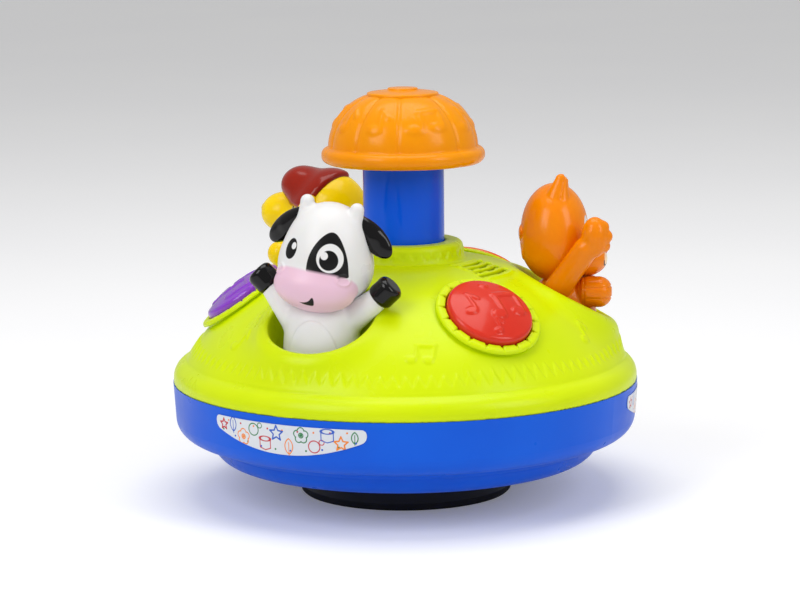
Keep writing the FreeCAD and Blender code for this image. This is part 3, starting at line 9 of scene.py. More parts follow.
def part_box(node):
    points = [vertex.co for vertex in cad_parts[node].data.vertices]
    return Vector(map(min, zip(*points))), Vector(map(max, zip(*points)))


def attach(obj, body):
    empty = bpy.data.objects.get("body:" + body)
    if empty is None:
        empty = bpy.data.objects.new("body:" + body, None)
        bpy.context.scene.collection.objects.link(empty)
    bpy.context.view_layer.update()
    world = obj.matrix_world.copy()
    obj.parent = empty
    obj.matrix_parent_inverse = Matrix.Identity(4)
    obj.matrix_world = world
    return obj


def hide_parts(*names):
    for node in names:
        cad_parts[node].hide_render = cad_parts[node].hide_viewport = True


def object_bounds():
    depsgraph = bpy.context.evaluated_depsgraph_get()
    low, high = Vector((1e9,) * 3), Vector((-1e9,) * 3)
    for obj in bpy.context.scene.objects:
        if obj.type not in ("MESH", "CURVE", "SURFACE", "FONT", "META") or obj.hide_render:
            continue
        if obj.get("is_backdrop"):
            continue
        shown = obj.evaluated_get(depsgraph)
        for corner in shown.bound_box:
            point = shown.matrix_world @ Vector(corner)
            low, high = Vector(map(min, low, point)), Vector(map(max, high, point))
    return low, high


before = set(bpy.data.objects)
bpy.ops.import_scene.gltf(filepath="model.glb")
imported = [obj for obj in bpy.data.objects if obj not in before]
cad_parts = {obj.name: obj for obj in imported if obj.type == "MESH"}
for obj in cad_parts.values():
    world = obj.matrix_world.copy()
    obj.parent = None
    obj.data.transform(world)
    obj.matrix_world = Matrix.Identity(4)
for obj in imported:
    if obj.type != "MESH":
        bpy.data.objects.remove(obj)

# The spinner toy's visible finish. Moulded forms are written as fields: functions that give the
# signed distance to a surface, negative inside. moulded() turns a field into a mesh.
# Lengths are in millimetres and angles in degrees, and a mesh is scaled to metres when it is made.

cad_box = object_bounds()
MM = 0.001


def node_box(node):
    low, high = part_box(node)
    return low / MM, high / MM


# ---- sizes of the dome, the cups and the buttons ----

RIM = node_box("upper_dome")[1].x
COLLAR_TOP = node_box("upper_dome")[1].z
SEAM = 55.0
BAND_TOP = 65.4
BAND_INSET = 6.7
BAND_ROUND = 8.0
DOME_ARC = 98.65
COLLAR = 28.4
COLLAR_FOOT = 113.5
COLLAR_ROUND = 3.0
POST_HOLE = 19.85
WALL = 2.5
CUP_RING = 76.5
CUP_MOUTH = 25.5
CUP_MOUTH_HEIGHT = 95.5
CUP_TILT = 28.0
CUP_TURN = 10.0
CUP_LIP = 4.2
CUP_FLARE = 35.0
CUP_FLOOR = 67.0
CUP_FLOOR_RADIUS = 21.0
BUTTON_RING = 77.0
BUTTON = 20.5
BUTTON_GAP = 0.4
BUTTON_EDGE = 3.4
BUTTON_CROWN = 3.4
BUTTON_SKIRT = 7.0
BEZEL_WIDTH = 4.4
BEZEL_HEIGHT = 0.9
BEZEL_SEGMENTS = 18
SLEEVE_DEPTH = 12.0
BOSS_RING = 80.0
BOSS_RADIUS = 4.4
BOSS_FOOT = 38.0
SPEAKER_RING = 44.0
SLOT_PITCH = 4.2
SLOT_WIDTH = 2.1
SLOT_HALF_ANGLE = 15.0
SLOT_RIDGE = 0.9
SLOT_ROUND = 0.8
SLOT_FOOT = 95.0
SPEAKER_ANGLE = 90.0
NOTE_RING = 92.0
NOTE_SIZE = 13.0
FIGURES = {"cow": 0.0, "cat": 120.0, "pony": 240.0}
FIGURE_TURNS = {"cow": 14.0, "cat": -5.0, "pony": 20.0}
BUTTONS = {"red": 60.0, "orange": 180.0, "purple": 300.0}


def arc_centre(first, second, radius):
    """Centre of the circle through two profile points, on the side of the axis."""
    run, rise = second[0] - first[0], second[1] - first[1]
    chord = hypot(run, rise)
    offset = sqrt(radius ** 2 - (chord / 2) ** 2)
    middle = ((first[0] + second[0]) / 2, (first[1] + second[1]) / 2)
    return middle[0] - rise / chord * offset, middle[1] + run / chord * offset


DOME_CENTRE = arc_centre((RIM - BAND_INSET, BAND_TOP), (COLLAR, COLLAR_FOOT), DOME_ARC)


# ---- places ----

def spot(x=0.0, y=0.0, z=0.0):
    return Matrix.Translation((x, y, z))


def spun(angle, axis="Z"):
    return Matrix.Rotation(radians(angle), 4, axis)


def around(angle, ring=0.0, height=0.0):
    """A place on a ring about the axis: its -Y points outwards and its X runs round the body."""
    turn = radians(angle)
    return spot(ring * sin(turn), -ring * cos(turn), height) @ spun(angle)


def on_dome(angle, ring):
    """A place on the dome with Z along its normal."""
    lean = degrees(asin((ring - DOME_CENTRE[0]) / DOME_ARC))
    height = DOME_CENTRE[1] + sqrt(DOME_ARC ** 2 - (ring - DOME_CENTRE[0]) ** 2)
    return around(angle, ring, height) @ spun(lean, "X")


def aimed(start, end, face):
    """A place at the start with its Z towards the end and its -Y about towards the face."""
    up = (Vector(end) - Vector(start)).normalized()
    right = Vector(face).cross(up).normalized() * -1
    back = up.cross(right)
    return spot(*start) @ Matrix((right, back, up)).transposed().to_4x4()


def within(points, place):
    """World points in a place's own axes."""
    back = np.array(place.inverted())
    return points @ back[:3, :3].T + back[:3, 3]


def polar(points):
    """Distance from the Z axis, and height."""
    return np.hypot(points[:, 0], points[:, 1]), points[:, 2]


def turn_of(points):
    return np.arctan2(points[:, 0], -points[:, 1])


# ---- fields in space ----

FAR = 9.0    # a distance that stands for no surface near


def size_of(vectors):
    return np.sqrt(np.sum(vectors * vectors, axis=-1))


def join(first, second, blend):
    """Union of two fields, with a fillet of about the blend's size."""
    near = np.maximum(blend - np.abs(first - second), 0.0) / blend
    return np.minimum(first, second) - near * near * blend / 4


def overlap(first, second, blend):
    return -join(-first, -second, blend)


def carve(form, tool, blend):
    return overlap(form, -tool, blend)


def corner(first, second, radius):
    """Two flat or turned faces that meet in a rounded outside corner."""
    a, b = first + radius, second + radius
    return np.minimum(np.maximum(a, b), 0) + np.hypot(np.maximum(a, 0), np.maximum(b, 0)) - radius


def oval(points, centre, radii):
    radii = np.array(radii, float)
    scaled = (points - np.array(centre, float)) / radii
    outer = size_of(scaled)
    return outer * (outer - 1.0) / np.maximum(size_of(scaled / radii), 1e-9)


def limb(points, start, end, first, last):
    """A rod with round ends whose radius changes from first to last."""
    start, way = np.array(start, float), np.array(end, float) - np.array(start, float)
    share = np.clip((points - start) @ way / (way @ way), 0.0, 1.0)
    return size_of(points - start - share[:, None] * way) - (first + (last - first) * share)


def barrel(points, start, end, radius, edge):
    """A straight cylinder between two points with rounded edges."""
    start, end = np.array(start, float), np.array(end, float)
    long = np.linalg.norm(end - start)
    way = (end - start) / long
    along = (points - (start + end) / 2) @ way
    out = size_of(points - (start + end) / 2 - along[:, None] * way)
    return corner(out - radius, np.abs(along) - long / 2, edge)


def ramp(amount):
    """A smooth step from 0 to 1 as the amount goes from -0.5 to 0.5."""
    share = np.clip(amount + 0.5, 0.0, 1.0)
    return share * share * (3.0 - 2.0 * share)


# ---- fields in the plane, for reliefs and printing ----

def disc(flat, x, y, radius, tall=None):
    tall = tall or radius
    return (np.hypot((flat[:, 0] - x) / radius, (flat[:, 1] - y) / tall) - 1.0) * min(radius, tall)


def discs(flat, *each):
    return np.min([disc(flat, *one) for one in each], axis=0)


def stroke(flat, start, end, width):
    start, way = np.array(start, float), np.array(end, float) - np.array(start, float)
    share = np.clip((flat - start) @ way / max(way @ way, 1e-9), 0.0, 1.0)
    return size_of(flat - start - share[:, None] * way) - width / 2


def outline(flat, corners, width, closed=True):
    count = len(corners)
    pairs = [(corners[i], corners[(i + 1) % count]) for i in range(count if closed else count - 1)]
    return np.min([stroke(flat, a, b, width) for a, b in pairs], axis=0)


def softened(corners):
    """The same loop with its corners cut off twice."""
    for _ in range(2):
        cut = []
        for index, (x, y) in enumerate(corners):
            other_x, other_y = corners[(index + 1) % len(corners)]
            cut.append((x * 0.75 + other_x * 0.25, y * 0.75 + other_y * 0.25))
            cut.append((x * 0.25 + other_x * 0.75, y * 0.25 + other_y * 0.75))
        corners = cut
    return corners


def polygon(flat, corners):
    """Signed distance to a filled polygon."""
    edge = outline(flat, corners, 0.0)
    inside = np.zeros(len(flat), bool)
    for index, (x, y) in enumerate(corners):
        other_x, other_y = corners[index - 1]
        crosses = (y > flat[:, 1]) != (other_y > flat[:, 1])
        if other_y != y:
            inside ^= crosses & (flat[:, 0] < (other_x - x) * (flat[:, 1] - y) / (other_y - y) + x)
    return np.where(inside, -edge, edge)


def beamed_notes(flat, size):
    """Two round notes joined by a beam, in a square of about the size."""
    flat = flat / size
    parts = [
        disc(flat, -0.33, -0.32, 0.19, 0.15),
        disc(flat, 0.27, -0.24, 0.19, 0.15),
        stroke(flat, (-0.18, -0.30), (-0.18, 0.34), 0.10),
        stroke(flat, (0.42, -0.22), (0.42, 0.42), 0.10),
        stroke(flat, (-0.18, 0.32), (0.42, 0.40), 0.18),
    ]
    return np.min(parts, axis=0) * size


def single_note(flat, size):
    flat = flat / size
    parts = [
        disc(flat, -0.12, -0.34, 0.21, 0.16),
        stroke(flat, (0.05, -0.32), (0.05, 0.44), 0.10),
        stroke(flat, (0.05, 0.42), (0.30, 0.14), 0.15),
    ]
    return np.min(parts, axis=0) * size


# ---- meshes from fields ----

CORNERS = np.array([(i, j, k) for i in (0, 1) for j in (0, 1) for k in (0, 1)])
CELL_EDGES = [(a, b) for a in range(8) for b in range(a) if abs(CORNERS[a] - CORNERS[b]).sum() == 1]
BLOCK = 6


def sampled(field, low, high, cell):
    """Field values on a grid, worked out in full only in the blocks near the surface."""
    counts = np.ceil((high - low) / (cell * BLOCK)).astype(int)
    middles = np.indices(counts).reshape(3, -1).T * (cell * BLOCK) + low + cell * BLOCK / 2
    coarse = field(middles).reshape(counts)
    near = np.abs(coarse) < cell * BLOCK * 1.3
    for axis in range(3):
        coarse, near = coarse.repeat(BLOCK, axis), near.repeat(BLOCK, axis)
    values = coarse.astype(np.float32)
    values[near] = field(np.argwhere(near) * cell + low + cell / 2)
    return values


def netted(values):
    """One vertex in each grid cell that the surface crosses, and a quad over each crossed edge."""
    inside = values < 0
    counts = np.array(values.shape) - 1
    windows = [inside[tuple(slice(s, s + n) for s, n in zip(shift, counts))] for shift in CORNERS]
    filled = np.sum(windows, axis=0, dtype=np.int8)
    mixed = (filled > 0) & (filled < 8)
    cells = np.argwhere(mixed)
    number = np.full(mixed.shape, -1, np.int32)
    number[mixed] = np.arange(len(cells))
    found = np.stack([values[tuple((cells + shift).T)] for shift in CORNERS], axis=1).astype(float)
    total, hits = np.zeros((len(cells), 3)), np.zeros(len(cells))
    for a, b in CELL_EDGES:
        crossed = (found[:, a] < 0) != (found[:, b] < 0)
        share = np.where(crossed, found[:, a] / np.where(crossed, found[:, a] - found[:, b], 1.0), 0.0)
        total += crossed[:, None] * (CORNERS[a] + share[:, None] * (CORNERS[b] - CORNERS[a]))
        hits += crossed
    quads = []
    for axis in range(3):
        low_side = [slice(None)] * 3
        high_side = [slice(None)] * 3
        low_side[axis], high_side[axis] = slice(None, -1), slice(1, None)
        first, last = inside[tuple(low_side)], inside[tuple(high_side)]
        for outwards in (True, False):
            edges = np.argwhere((first & ~last) if outwards else (last & ~first))
            ring = []
            for along, across in ((-1, -1), (0, -1), (0, 0), (-1, 0)):
                shift = np.zeros(3, int)
                shift[(axis + 1) % 3], shift[(axis + 2) % 3] = along, across
                ring.append(number[tuple((edges + shift).T)])
            quads.append(np.stack(ring if outwards else ring[::-1], axis=1))
    return cells + total / hits[:, None], np.concatenate(quads)


SLOPE_WAYS = np.array([(1, -1, -1), (-1, -1, 1), (-1, 1, -1), (1, 1, 1)], float)


def settled(points, field, cell):
    """Slide points along the field's slope onto the surface."""
    step = cell * 0.05
    slope = sum(way * field(points + way * step)[:, None] for way in SLOPE_WAYS) / (4 * step)
    shift = field(points)[:, None] * slope / np.maximum(np.sum(slope ** 2, axis=1), 0.05)[:, None]
    far = np.maximum(size_of(shift)[:, None] / (cell * 0.7), 1.0)
    return points - shift / far


def evened(points, quads):
    """Move each point halfway to the middle of its neighbours."""
    ends = np.concatenate([quads[:, [i, (i + 1) % 4]] for i in range(4)])
    ends = np.concatenate([ends, ends[:, ::-1]])
    count = np.bincount(ends[:, 0], minlength=len(points))
    middle = [np.bincount(ends[:, 0], points[ends[:, 1], axis], len(points)) for axis in range(3)]
    return (points + np.stack(middle, axis=1) / np.maximum(count, 1)[:, None]) / 2


def in_scene(name, data):
    thing = bpy.data.objects.new(name, data)
    bpy.context.scene.collection.objects.link(thing)
    return thing


def mesh_object(name, points, faces):
    mesh = bpy.data.meshes.new(name)
    mesh.from_pydata((points * MM).tolist(), [], faces.tolist())
    mesh.polygons.foreach_set("use_smooth", np.ones(len(mesh.polygons), bool))
    mesh.update()
    return in_scene(name, mesh)


def column(reach, foot, top):
    """Corners of a sampling box round an axis."""
    return (-reach, -reach, foot), (reach, reach, top)


def moulded(name, field, low, high, cell, place=Matrix.Identity(4), rounds=3):
    """A mesh of the surface where the field is zero, and its points in its own axes."""
    low, high = np.array(low, float), np.array(high, float)
    points, quads = netted(sampled(field, low, high, cell))
    points = points * cell + low + cell / 2
    for _ in range(rounds):
        points = settled(evened(points, quads), field, cell)
    points = settled(points, field, cell)
    turned = np.array(place)
    thing = mesh_object(name, points @ turned[:3, :3].T + turned[:3, 3], quads)
    return thing, points


def marked(thing, **marks):
    """Keep a signed distance per vertex for each printed mark, for its material to read."""
    for name, values in marks.items():
        layer = thing.data.attributes.new(name, "FLOAT", "POINT")
        layer.data.foreach_set("value", values.astype(np.float32))


def dressed(thing, material, body, slot, *nodes):
    """Give a piece its material, the body that it rides on and the nodes it stands for; the slot is
    not used.
    """
    thing.data.materials.append(material)
    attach(thing, body)
    if nodes:
        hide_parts(*nodes)


# ---- materials ----

def linear(red, green, blue):
    """A colour given as the eye sees it, 0 to 255, in the renderer's own scale."""
    shares = [value / 255 for value in (red, green, blue)]
    scaled = [s / 12.92 if s <= 0.04045 else ((s + 0.055) / 1.055) ** 2.4 for s in shares]
    return (*scaled, 1.0)


def fill(node, **values):
    """Set a node's inputs, with an underscore for each space in a name."""
    for key, value in values.items():
        node.inputs[key.replace("_", " ")].default_value = value


class Recipe:
    """A node material built round one Principled shader."""

    def __init__(self, name):
        self.material = bpy.data.materials.new(name)
        self.material.use_nodes = True
        self.nodes = self.material.node_tree.nodes
        self.links = self.material.node_tree.links
        self.shader = self.nodes["Principled BSDF"]
        self.place = self.add("ShaderNodeTexCoord").outputs["Object"]

    def add(self, kind, **settings):
        node = self.nodes.new(kind)
        for key, value in settings.items():
            setattr(node, key, value)
        return node

    def join(self, source, target):
        self.links.new(source, target)

    def noise(self, scale, detail=2.0):
        """A soft noise in the piece's own axes, with the scale in waves per metre."""
        node = self.add("ShaderNodeTexNoise")
        fill(node, Scale=scale, Detail=detail)
        self.join(self.place, node.inputs["Vector"])
        return node.outputs["Fac"]

    def between(self, source, low, high):
        node = self.add("ShaderNodeMapRange")
        fill(node, From_Min=0.3, From_Max=0.7, To_Min=low, To_Max=high)
        self.join(source, node.inputs["Value"])
        return node.outputs["Result"]

    def blend(self, share, first, second):
        node = self.add("ShaderNodeMix", data_type="RGBA")
        self.join(share, node.inputs["Factor"])
        for socket, value in zip(("A", "B"), (first, second)):
            target = [s for s in node.inputs if s.name == socket and s.type == "RGBA"][0]
            if isinstance(value, tuple):
                target.default_value = value
            else:
                self.join(value, target)
        return [s for s in node.outputs if s.type == "RGBA"][0]

    def mark(self, name, softness):
        """Share of a printed mark: 1 inside its outline and 0 outside, from the stored distance."""
        source = self.add("ShaderNodeAttribute", attribute_name=name)
        node = self.add("ShaderNodeMath", operation="MULTIPLY_ADD", use_clamp=True)
        node.inputs[1].default_value = -1.0 / softness
        node.inputs[2].default_value = 0.5
        self.join(source.outputs["Fac"], node.inputs[0])
        return node.outputs["Value"]

    def bump(self, height, distance):
        node = self.add("ShaderNodeBump")
        fill(node, Strength=1.0, Distance=distance)
        self.join(height, node.inputs["Height"])
        self.join(node.outputs["Normal"], self.shader.inputs["Normal"])

    def set(self, **values):
        fill(self.shader, **values)


def plastic(name, colour, deep, gloss=0.3, coat=0.0, marks=(), glow=0.0, ripple=0.00004,
            shine=0.35):
    """Moulded plastic: two close shades in soft clouds, uneven gloss, a faint moulding ripple,
    and printed marks given as (attribute, colour, softness in millimetres)."""
    recipe = Recipe(name)
    clouds = recipe.between(recipe.noise(22.0), 0.0, 1.0)
    shade = recipe.blend(clouds, linear(*colour), linear(*deep))
    for mark, ink, softness in marks:
        shade = recipe.blend(recipe.mark(mark, softness), shade, linear(*ink))
    recipe.join(shade, recipe.shader.inputs["Base Color"])
    roughness = recipe.between(recipe.noise(60.0, 3.0), gloss * 0.85, gloss * 1.2)
    recipe.join(roughness, recipe.shader.inputs["Roughness"])
    recipe.bump(recipe.noise(140.0, 2.0), ripple)
    recipe.set(IOR=1.46, Specular_IOR_Level=shine, Coat_Weight=coat, Coat_Roughness=0.08)
    if glow:
        recipe.set(Subsurface_Weight=glow, Subsurface_Radius=(1.0, 0.7, 0.4), Subsurface_Scale=0.004)
    return recipe.material


def metal(name, colour, gloss):
    recipe = Recipe(name)
    clouds = recipe.between(recipe.noise(300.0), 0, 1)
    shade = recipe.blend(clouds, linear(*colour), linear(120, 122, 125))
    recipe.join(shade, recipe.shader.inputs["Base Color"])
    roughness = recipe.between(recipe.noise(900.0, 4.0), gloss * 0.7, gloss * 1.3)
    recipe.join(roughness, recipe.shader.inputs["Roughness"])
    recipe.set(Metallic=1.0)
    return recipe.material


BLACK = (5, 4, 5)
WHITE = (230, 229, 228)
PINK = (228, 190, 208)
GLOSSY = dict(gloss=0.22, coat=0.12, glow=0.15, shine=0.2)

lime = plastic("lime", (212, 232, 0), (204, 227, 0), 0.30, glow=0.08, shine=0.22)
shell_blue = plastic("shell_blue", (0, 94, 220), (0, 86, 212), 0.32, coat=0.05,
                     ripple=0.00001, shine=0.2)
post_blue = plastic("post_blue", (0, 90, 238), (0, 82, 230), 0.2, coat=0.15, ripple=0.000005,
                    shine=0.15)
cap_orange = plastic("cap_orange", (242, 152, 0), (237, 141, 0), 0.22, glow=0.12, shine=0.22)
button_colours = {
    "red": plastic("button_red", (217, 54, 34), (208, 45, 28), 0.2, coat=0.25, glow=0.2, shine=0.2),
    "orange": plastic("button_orange", (240, 110, 20), (232, 100, 14), 0.2, 0.5, glow=0.2),
    "purple": plastic("button_purple", (138, 62, 196), (128, 54, 188), 0.2, 0.5, glow=0.2),
}
stand_black = plastic("stand_black", (24, 26, 34), (18, 20, 28), 0.45)
foot_rubber = plastic("foot_rubber", (34, 34, 36), (26, 26, 28), 0.75, ripple=0.0001)
inner_plastic = plastic("inner_plastic", (216, 218, 220), (206, 208, 212), 0.4)
board_green = plastic("board_green", (24, 96, 54), (18, 84, 46), 0.5)
cell_case = plastic("cell_case", (58, 62, 70), (48, 52, 60), 0.3, coat=0.3)
lamp_clear = plastic("lamp_clear", (235, 236, 240), (225, 226, 232), 0.12, coat=0.4)
steel = metal("steel", (196, 198, 202), 0.28)


# ---- dome ----

ZIGZAG_LOW = 69.0
ZIGZAG_TALL = 7.0
ZIGZAG_TEETH = 108
ZIGZAG_RAISE = 0.55
COLLAR_TEETH = 32
COLLAR_TOOTH_LOW = 115.2
COLLAR_TOOTH_TALL = 3.6


def zigzag(out, turn, high, teeth, low, tall, raise_by, soft=0.7):
    """Relief below a zigzag line that runs round the axis."""
    wave = np.abs((turn * teeth / (2 * pi)) % 1.0 - 0.5) * 2
    run = pi * out / teeth
    distance = (low + tall * wave - high) * run / np.hypot(run, tall)
    return raise_by * ramp(distance / soft)


def dome_relief(points, out, high):
    turn = turn_of(points)
    tall = ZIGZAG_TALL * (0.86 + 0.14 * np.cos(6 * turn))
    relief = zigzag(out, turn, high, ZIGZAG_TEETH, ZIGZAG_LOW, tall, ZIGZAG_RAISE)
    relief *= ramp(out - COLLAR - 20.0) * ramp((high - BAND_TOP - 0.8) / 1.6)
    ring = zigzag(out, turn, high, COLLAR_TEETH, COLLAR_TOOTH_LOW, COLLAR_TOOTH_TALL, ZIGZAG_RAISE)
    relief += ring * ramp((COLLAR + 1.2 - out) / 1.0) * ramp(high - COLLAR_FOOT)
    for number in range(6):
        flat = within(points, on_dome(34.5 + 60.0 * number, NOTE_RING) @ spun(-12.0))
        note = (single_note if number % 2 else beamed_notes)(flat[:, :2], NOTE_SIZE)
        relief += 0.6 * ramp(-note / 0.9) * (np.abs(flat[:, 2]) < 6.0)
    return relief


def cup_mouth(angle):
    return around(angle, CUP_RING, CUP_MOUTH_HEIGHT) @ spun(CUP_TURN) @ spun(CUP_TILT, "X")


def cup_void(points, angle):
    """The space inside a cup, from its level round floor to its tilted round mouth."""
    cup = within(points, around(angle, CUP_RING, CUP_FLOOR) @ spun(CUP_TURN))
    slope = tan(radians(CUP_TILT))
    rise = CUP_MOUTH_HEIGHT - CUP_FLOOR + cup[:, 1] * slope
    share = np.clip(cup[:, 2] / np.maximum(rise, 4.0), 0.0, 1.6)
    wide = CUP_FLOOR_RADIUS + (CUP_MOUTH - CUP_FLOOR_RADIUS) * share
    deep = CUP_MOUTH * cos(radians(CUP_TILT))
    deep = CUP_FLOOR_RADIUS + (deep - CUP_FLOOR_RADIUS) * share
    side = (np.hypot(cup[:, 0] / wide, cup[:, 1] / deep) - 1.0) * np.minimum(wide, deep)
    return overlap(side, -cup[:, 2], 3.0)


def dome_form(points):
    """The dome's outside with its band, collar, raised cup lips, reliefs and cup hollows."""
    out, high = polar(points)
    form = np.hypot(np.maximum(out - DOME_CENTRE[0], 0), high - DOME_CENTRE[1]) - DOME_ARC
    form = join(form, corner(out - RIM, high - BAND_TOP, BAND_ROUND), 1.6)
    form = join(form, corner(out - COLLAR, high - COLLAR_TOP, COLLAR_ROUND), 2.5)
    flare = radians(CUP_FLARE)
    for angle in FIGURES.values():
        mouth = within(points, cup_mouth(angle))
        side = np.hypot(mouth[:, 0], mouth[:, 1]) - CUP_MOUTH - CUP_LIP
        side = (side + mouth[:, 2] * tan(flare)) * cos(flare)
        form = join(form, overlap(side, mouth[:, 2], 4.0), 4.0)
    form = form - dome_relief(points, out, high)
    form = form - speaker_ridges(points, out)
    for angle in FIGURES.values():
        form = carve(form, cup_void(points, angle), 1.8)
    return form


def speaker_ridges(points, out):
    """Rounded ridges between and beside the speaker's slots."""
    turn = turn_of(points) - radians(SPEAKER_ANGLE)
    wave = np.abs(((out - SPEAKER_RING) / SLOT_PITCH) % 1.0 - 0.5) * 2
    ends = ramp((radians(SLOT_HALF_ANGLE) * SPEAKER_RING + 1.0 - np.abs(turn) * out) / 2.0)
    rows = ramp((2.5 * SLOT_PITCH - np.abs(out - SPEAKER_RING)) / 1.5)
    return SLOT_RIDGE * (1 - wave ** 2) * ends * rows


def dome_field(points):
    out, high = polar(points)
    form = dome_form(points)
    skin = np.maximum(form, -(form + WALL))
    for number in range(6):
        boss = within(points, around(30.0 + 60.0 * number, BOSS_RING))
        rod = np.maximum(np.hypot(boss[:, 0], boss[:, 1]) - BOSS_RADIUS, form + WALL / 2)
        skin = np.minimum(skin, np.where(high < SEAM + 40, np.maximum(rod, BOSS_FOOT - high), FAR))
    ground = np.where(out > RIM - 12.0, SEAM, BOSS_FOOT)
    skin = np.maximum(skin, ground - high)
    skin = carve(skin, out - POST_HOLE, 0.8)
    for angle in BUTTONS.values():
        seat = within(points, on_dome(angle, BUTTON_RING))
        across = np.hypot(seat[:, 0], seat[:, 1])
        bore = BUTTON + BUTTON_GAP
        half = SLEEVE_DEPTH / 2
        sleeve = np.maximum(across - bore - WALL, np.abs(seat[:, 2] + half) - half)
        skin = carve(np.minimum(skin, sleeve), across - bore, 0.6)
    turn = turn_of(points) - radians(SPEAKER_ANGLE)
    for number in range(4):
        ring = SPEAKER_RING + (number - 1.5) * SLOT_PITCH
        side = np.abs(turn) * out - radians(SLOT_HALF_ANGLE) * ring
        slot = corner(np.abs(out - ring) - SLOT_WIDTH / 2, side, SLOT_ROUND)
        skin = carve(skin, np.maximum(slot, SLOT_FOOT - high), SLOT_ROUND)
    return skin


def dome():
    box = column(RIM + 2.0, BOSS_FOOT - 2.0, COLLAR_TOP + 2.0)
    thing, _ = moulded("dome_moulding", dome_field, *box, cell=0.85)
    dressed(thing, lime, "spinner", "lime_plastic", "upper_dome")


def bezel_field(points):
    """A low ring round a button, divided by short grooves."""
    across, high = polar(points)
    bore = BUTTON + BUTTON_GAP
    outer = corner(across - bore - BEZEL_WIDTH, high - BEZEL_HEIGHT, 1.8)
    inner = corner(bore - across, high - BEZEL_HEIGHT, 0.5)
    ring = np.maximum(np.maximum(outer, inner), -1.2 - high)
    step = 2 * pi / BEZEL_SEGMENTS
    turn = (np.arctan2(points[:, 1], points[:, 0]) + step / 2) % step - step / 2
    groove = np.maximum(np.abs(turn) * across - 0.3, BEZEL_HEIGHT - 0.6 - high)
    notch = np.maximum(np.abs(turn) * across - 0.7, across - bore - 1.2)
    return carve(ring, np.minimum(groove, notch), 0.4)


def bezels():
    box = column(BUTTON + BUTTON_GAP + BEZEL_WIDTH + 1.0, -2.4, BEZEL_HEIGHT + 1.0)
    for colour, angle in BUTTONS.items():
        place = on_dome(angle, BUTTON_RING)
        thing, _ = moulded(f"{colour}_bezel", bezel_field, *box, 0.4, place, rounds=2)
        dressed(thing, lime, "spinner", "lime_plastic")


# ---- buttons ----

def button_field(points):
    """Domed button with a hollow skirt, a stem and raised notes on its crown."""
    across, high = polar(points)
    crown = (BUTTON ** 2 + BUTTON_CROWN ** 2) / (2 * BUTTON_CROWN)
    peak = BUTTON_EDGE + BUTTON_CROWN
    top = np.hypot(across, high - peak + crown) - crown
    form = corner(across - BUTTON, top, 1.6)
    inside = np.maximum(across - BUTTON + 1.8, top + 1.8)
    flat = points[:, :2]
    notes = [
        beamed_notes(flat - (7.0, 0.0), 19.0),
        single_note(flat - (-10.0, 3.5), 14.0),
        single_note(flat - (-2.5, -12.0), 9.0),
        disc(flat, 2.5, 14.0, 2.0),
    ]
    form = form - 0.65 * ramp(-np.min(notes, axis=0) / 1.5) * (high > 0)
    shell = np.maximum(np.maximum(form, -inside), -BUTTON_SKIRT - high)
    stem = np.maximum(np.maximum(across - 3.0, top + 0.9), -5.6 - high)
    return np.minimum(shell, stem)


def buttons():
    box = column(BUTTON + 1.0, -BUTTON_SKIRT - 1, BUTTON_EDGE + BUTTON_CROWN + 2)
    for colour, angle in BUTTONS.items():
        place = on_dome(angle, BUTTON_RING)
        thing, _ = moulded(f"{colour}_button_moulding", button_field, *box, 0.5, place)
        dressed(thing, button_colours[colour], f"{colour}_key", f"button_{colour}", f"{colour}_button")


# ---- cap ----

cap_low, cap_high = node_box("cap_shell")
CAP_RIM = 39.3
CAP_RIM_TALL = 7.6
CAP_NECK = 36.1
CAP_TOP_RADIUS = 17.4
CAP_ARC = 27.0
CAP_WALL = 2.6
CAP_SEAMS = (-73.0, -38.5, -4.0)
CAP_CENTRE = arc_centre((CAP_NECK, cap_low.z + CAP_RIM_TALL), (CAP_TOP_RADIUS, 191.9), CAP_ARC)
CROWN = 17.2
CROWN_STEP = 193.0
CROWN_TOP = 194.5
CROWN_DISC = 7.2
SOCKET = 19.7
SOCKET_WALL = 2.0
SOCKET_FOOT = 178.0


def lobe_share(turn):
    """Distance from the nearest seam, as an angle, and the place across the lobe, -1 to 1."""
    third = 2 * pi / 3
    seams = [radians(30.0 + angle) for angle in CAP_SEAMS]
    seams.append(seams[0] + third)
    own = (turn - seams[0]) % third + seams[0]
    gap, across, wide = np.full(len(turn), FAR), np.zeros(len(turn)), np.zeros(len(turn))
    for left, right in zip(seams, seams[1:]):
        here = (own >= left) & (own <= right)
        gap = np.where(here, np.minimum(own - left, right - own), gap)
        across = np.where(here, (own - left) / (right - left) * 2 - 1, across)
        wide = np.where(here, right - left, wide)
    return gap, across, wide


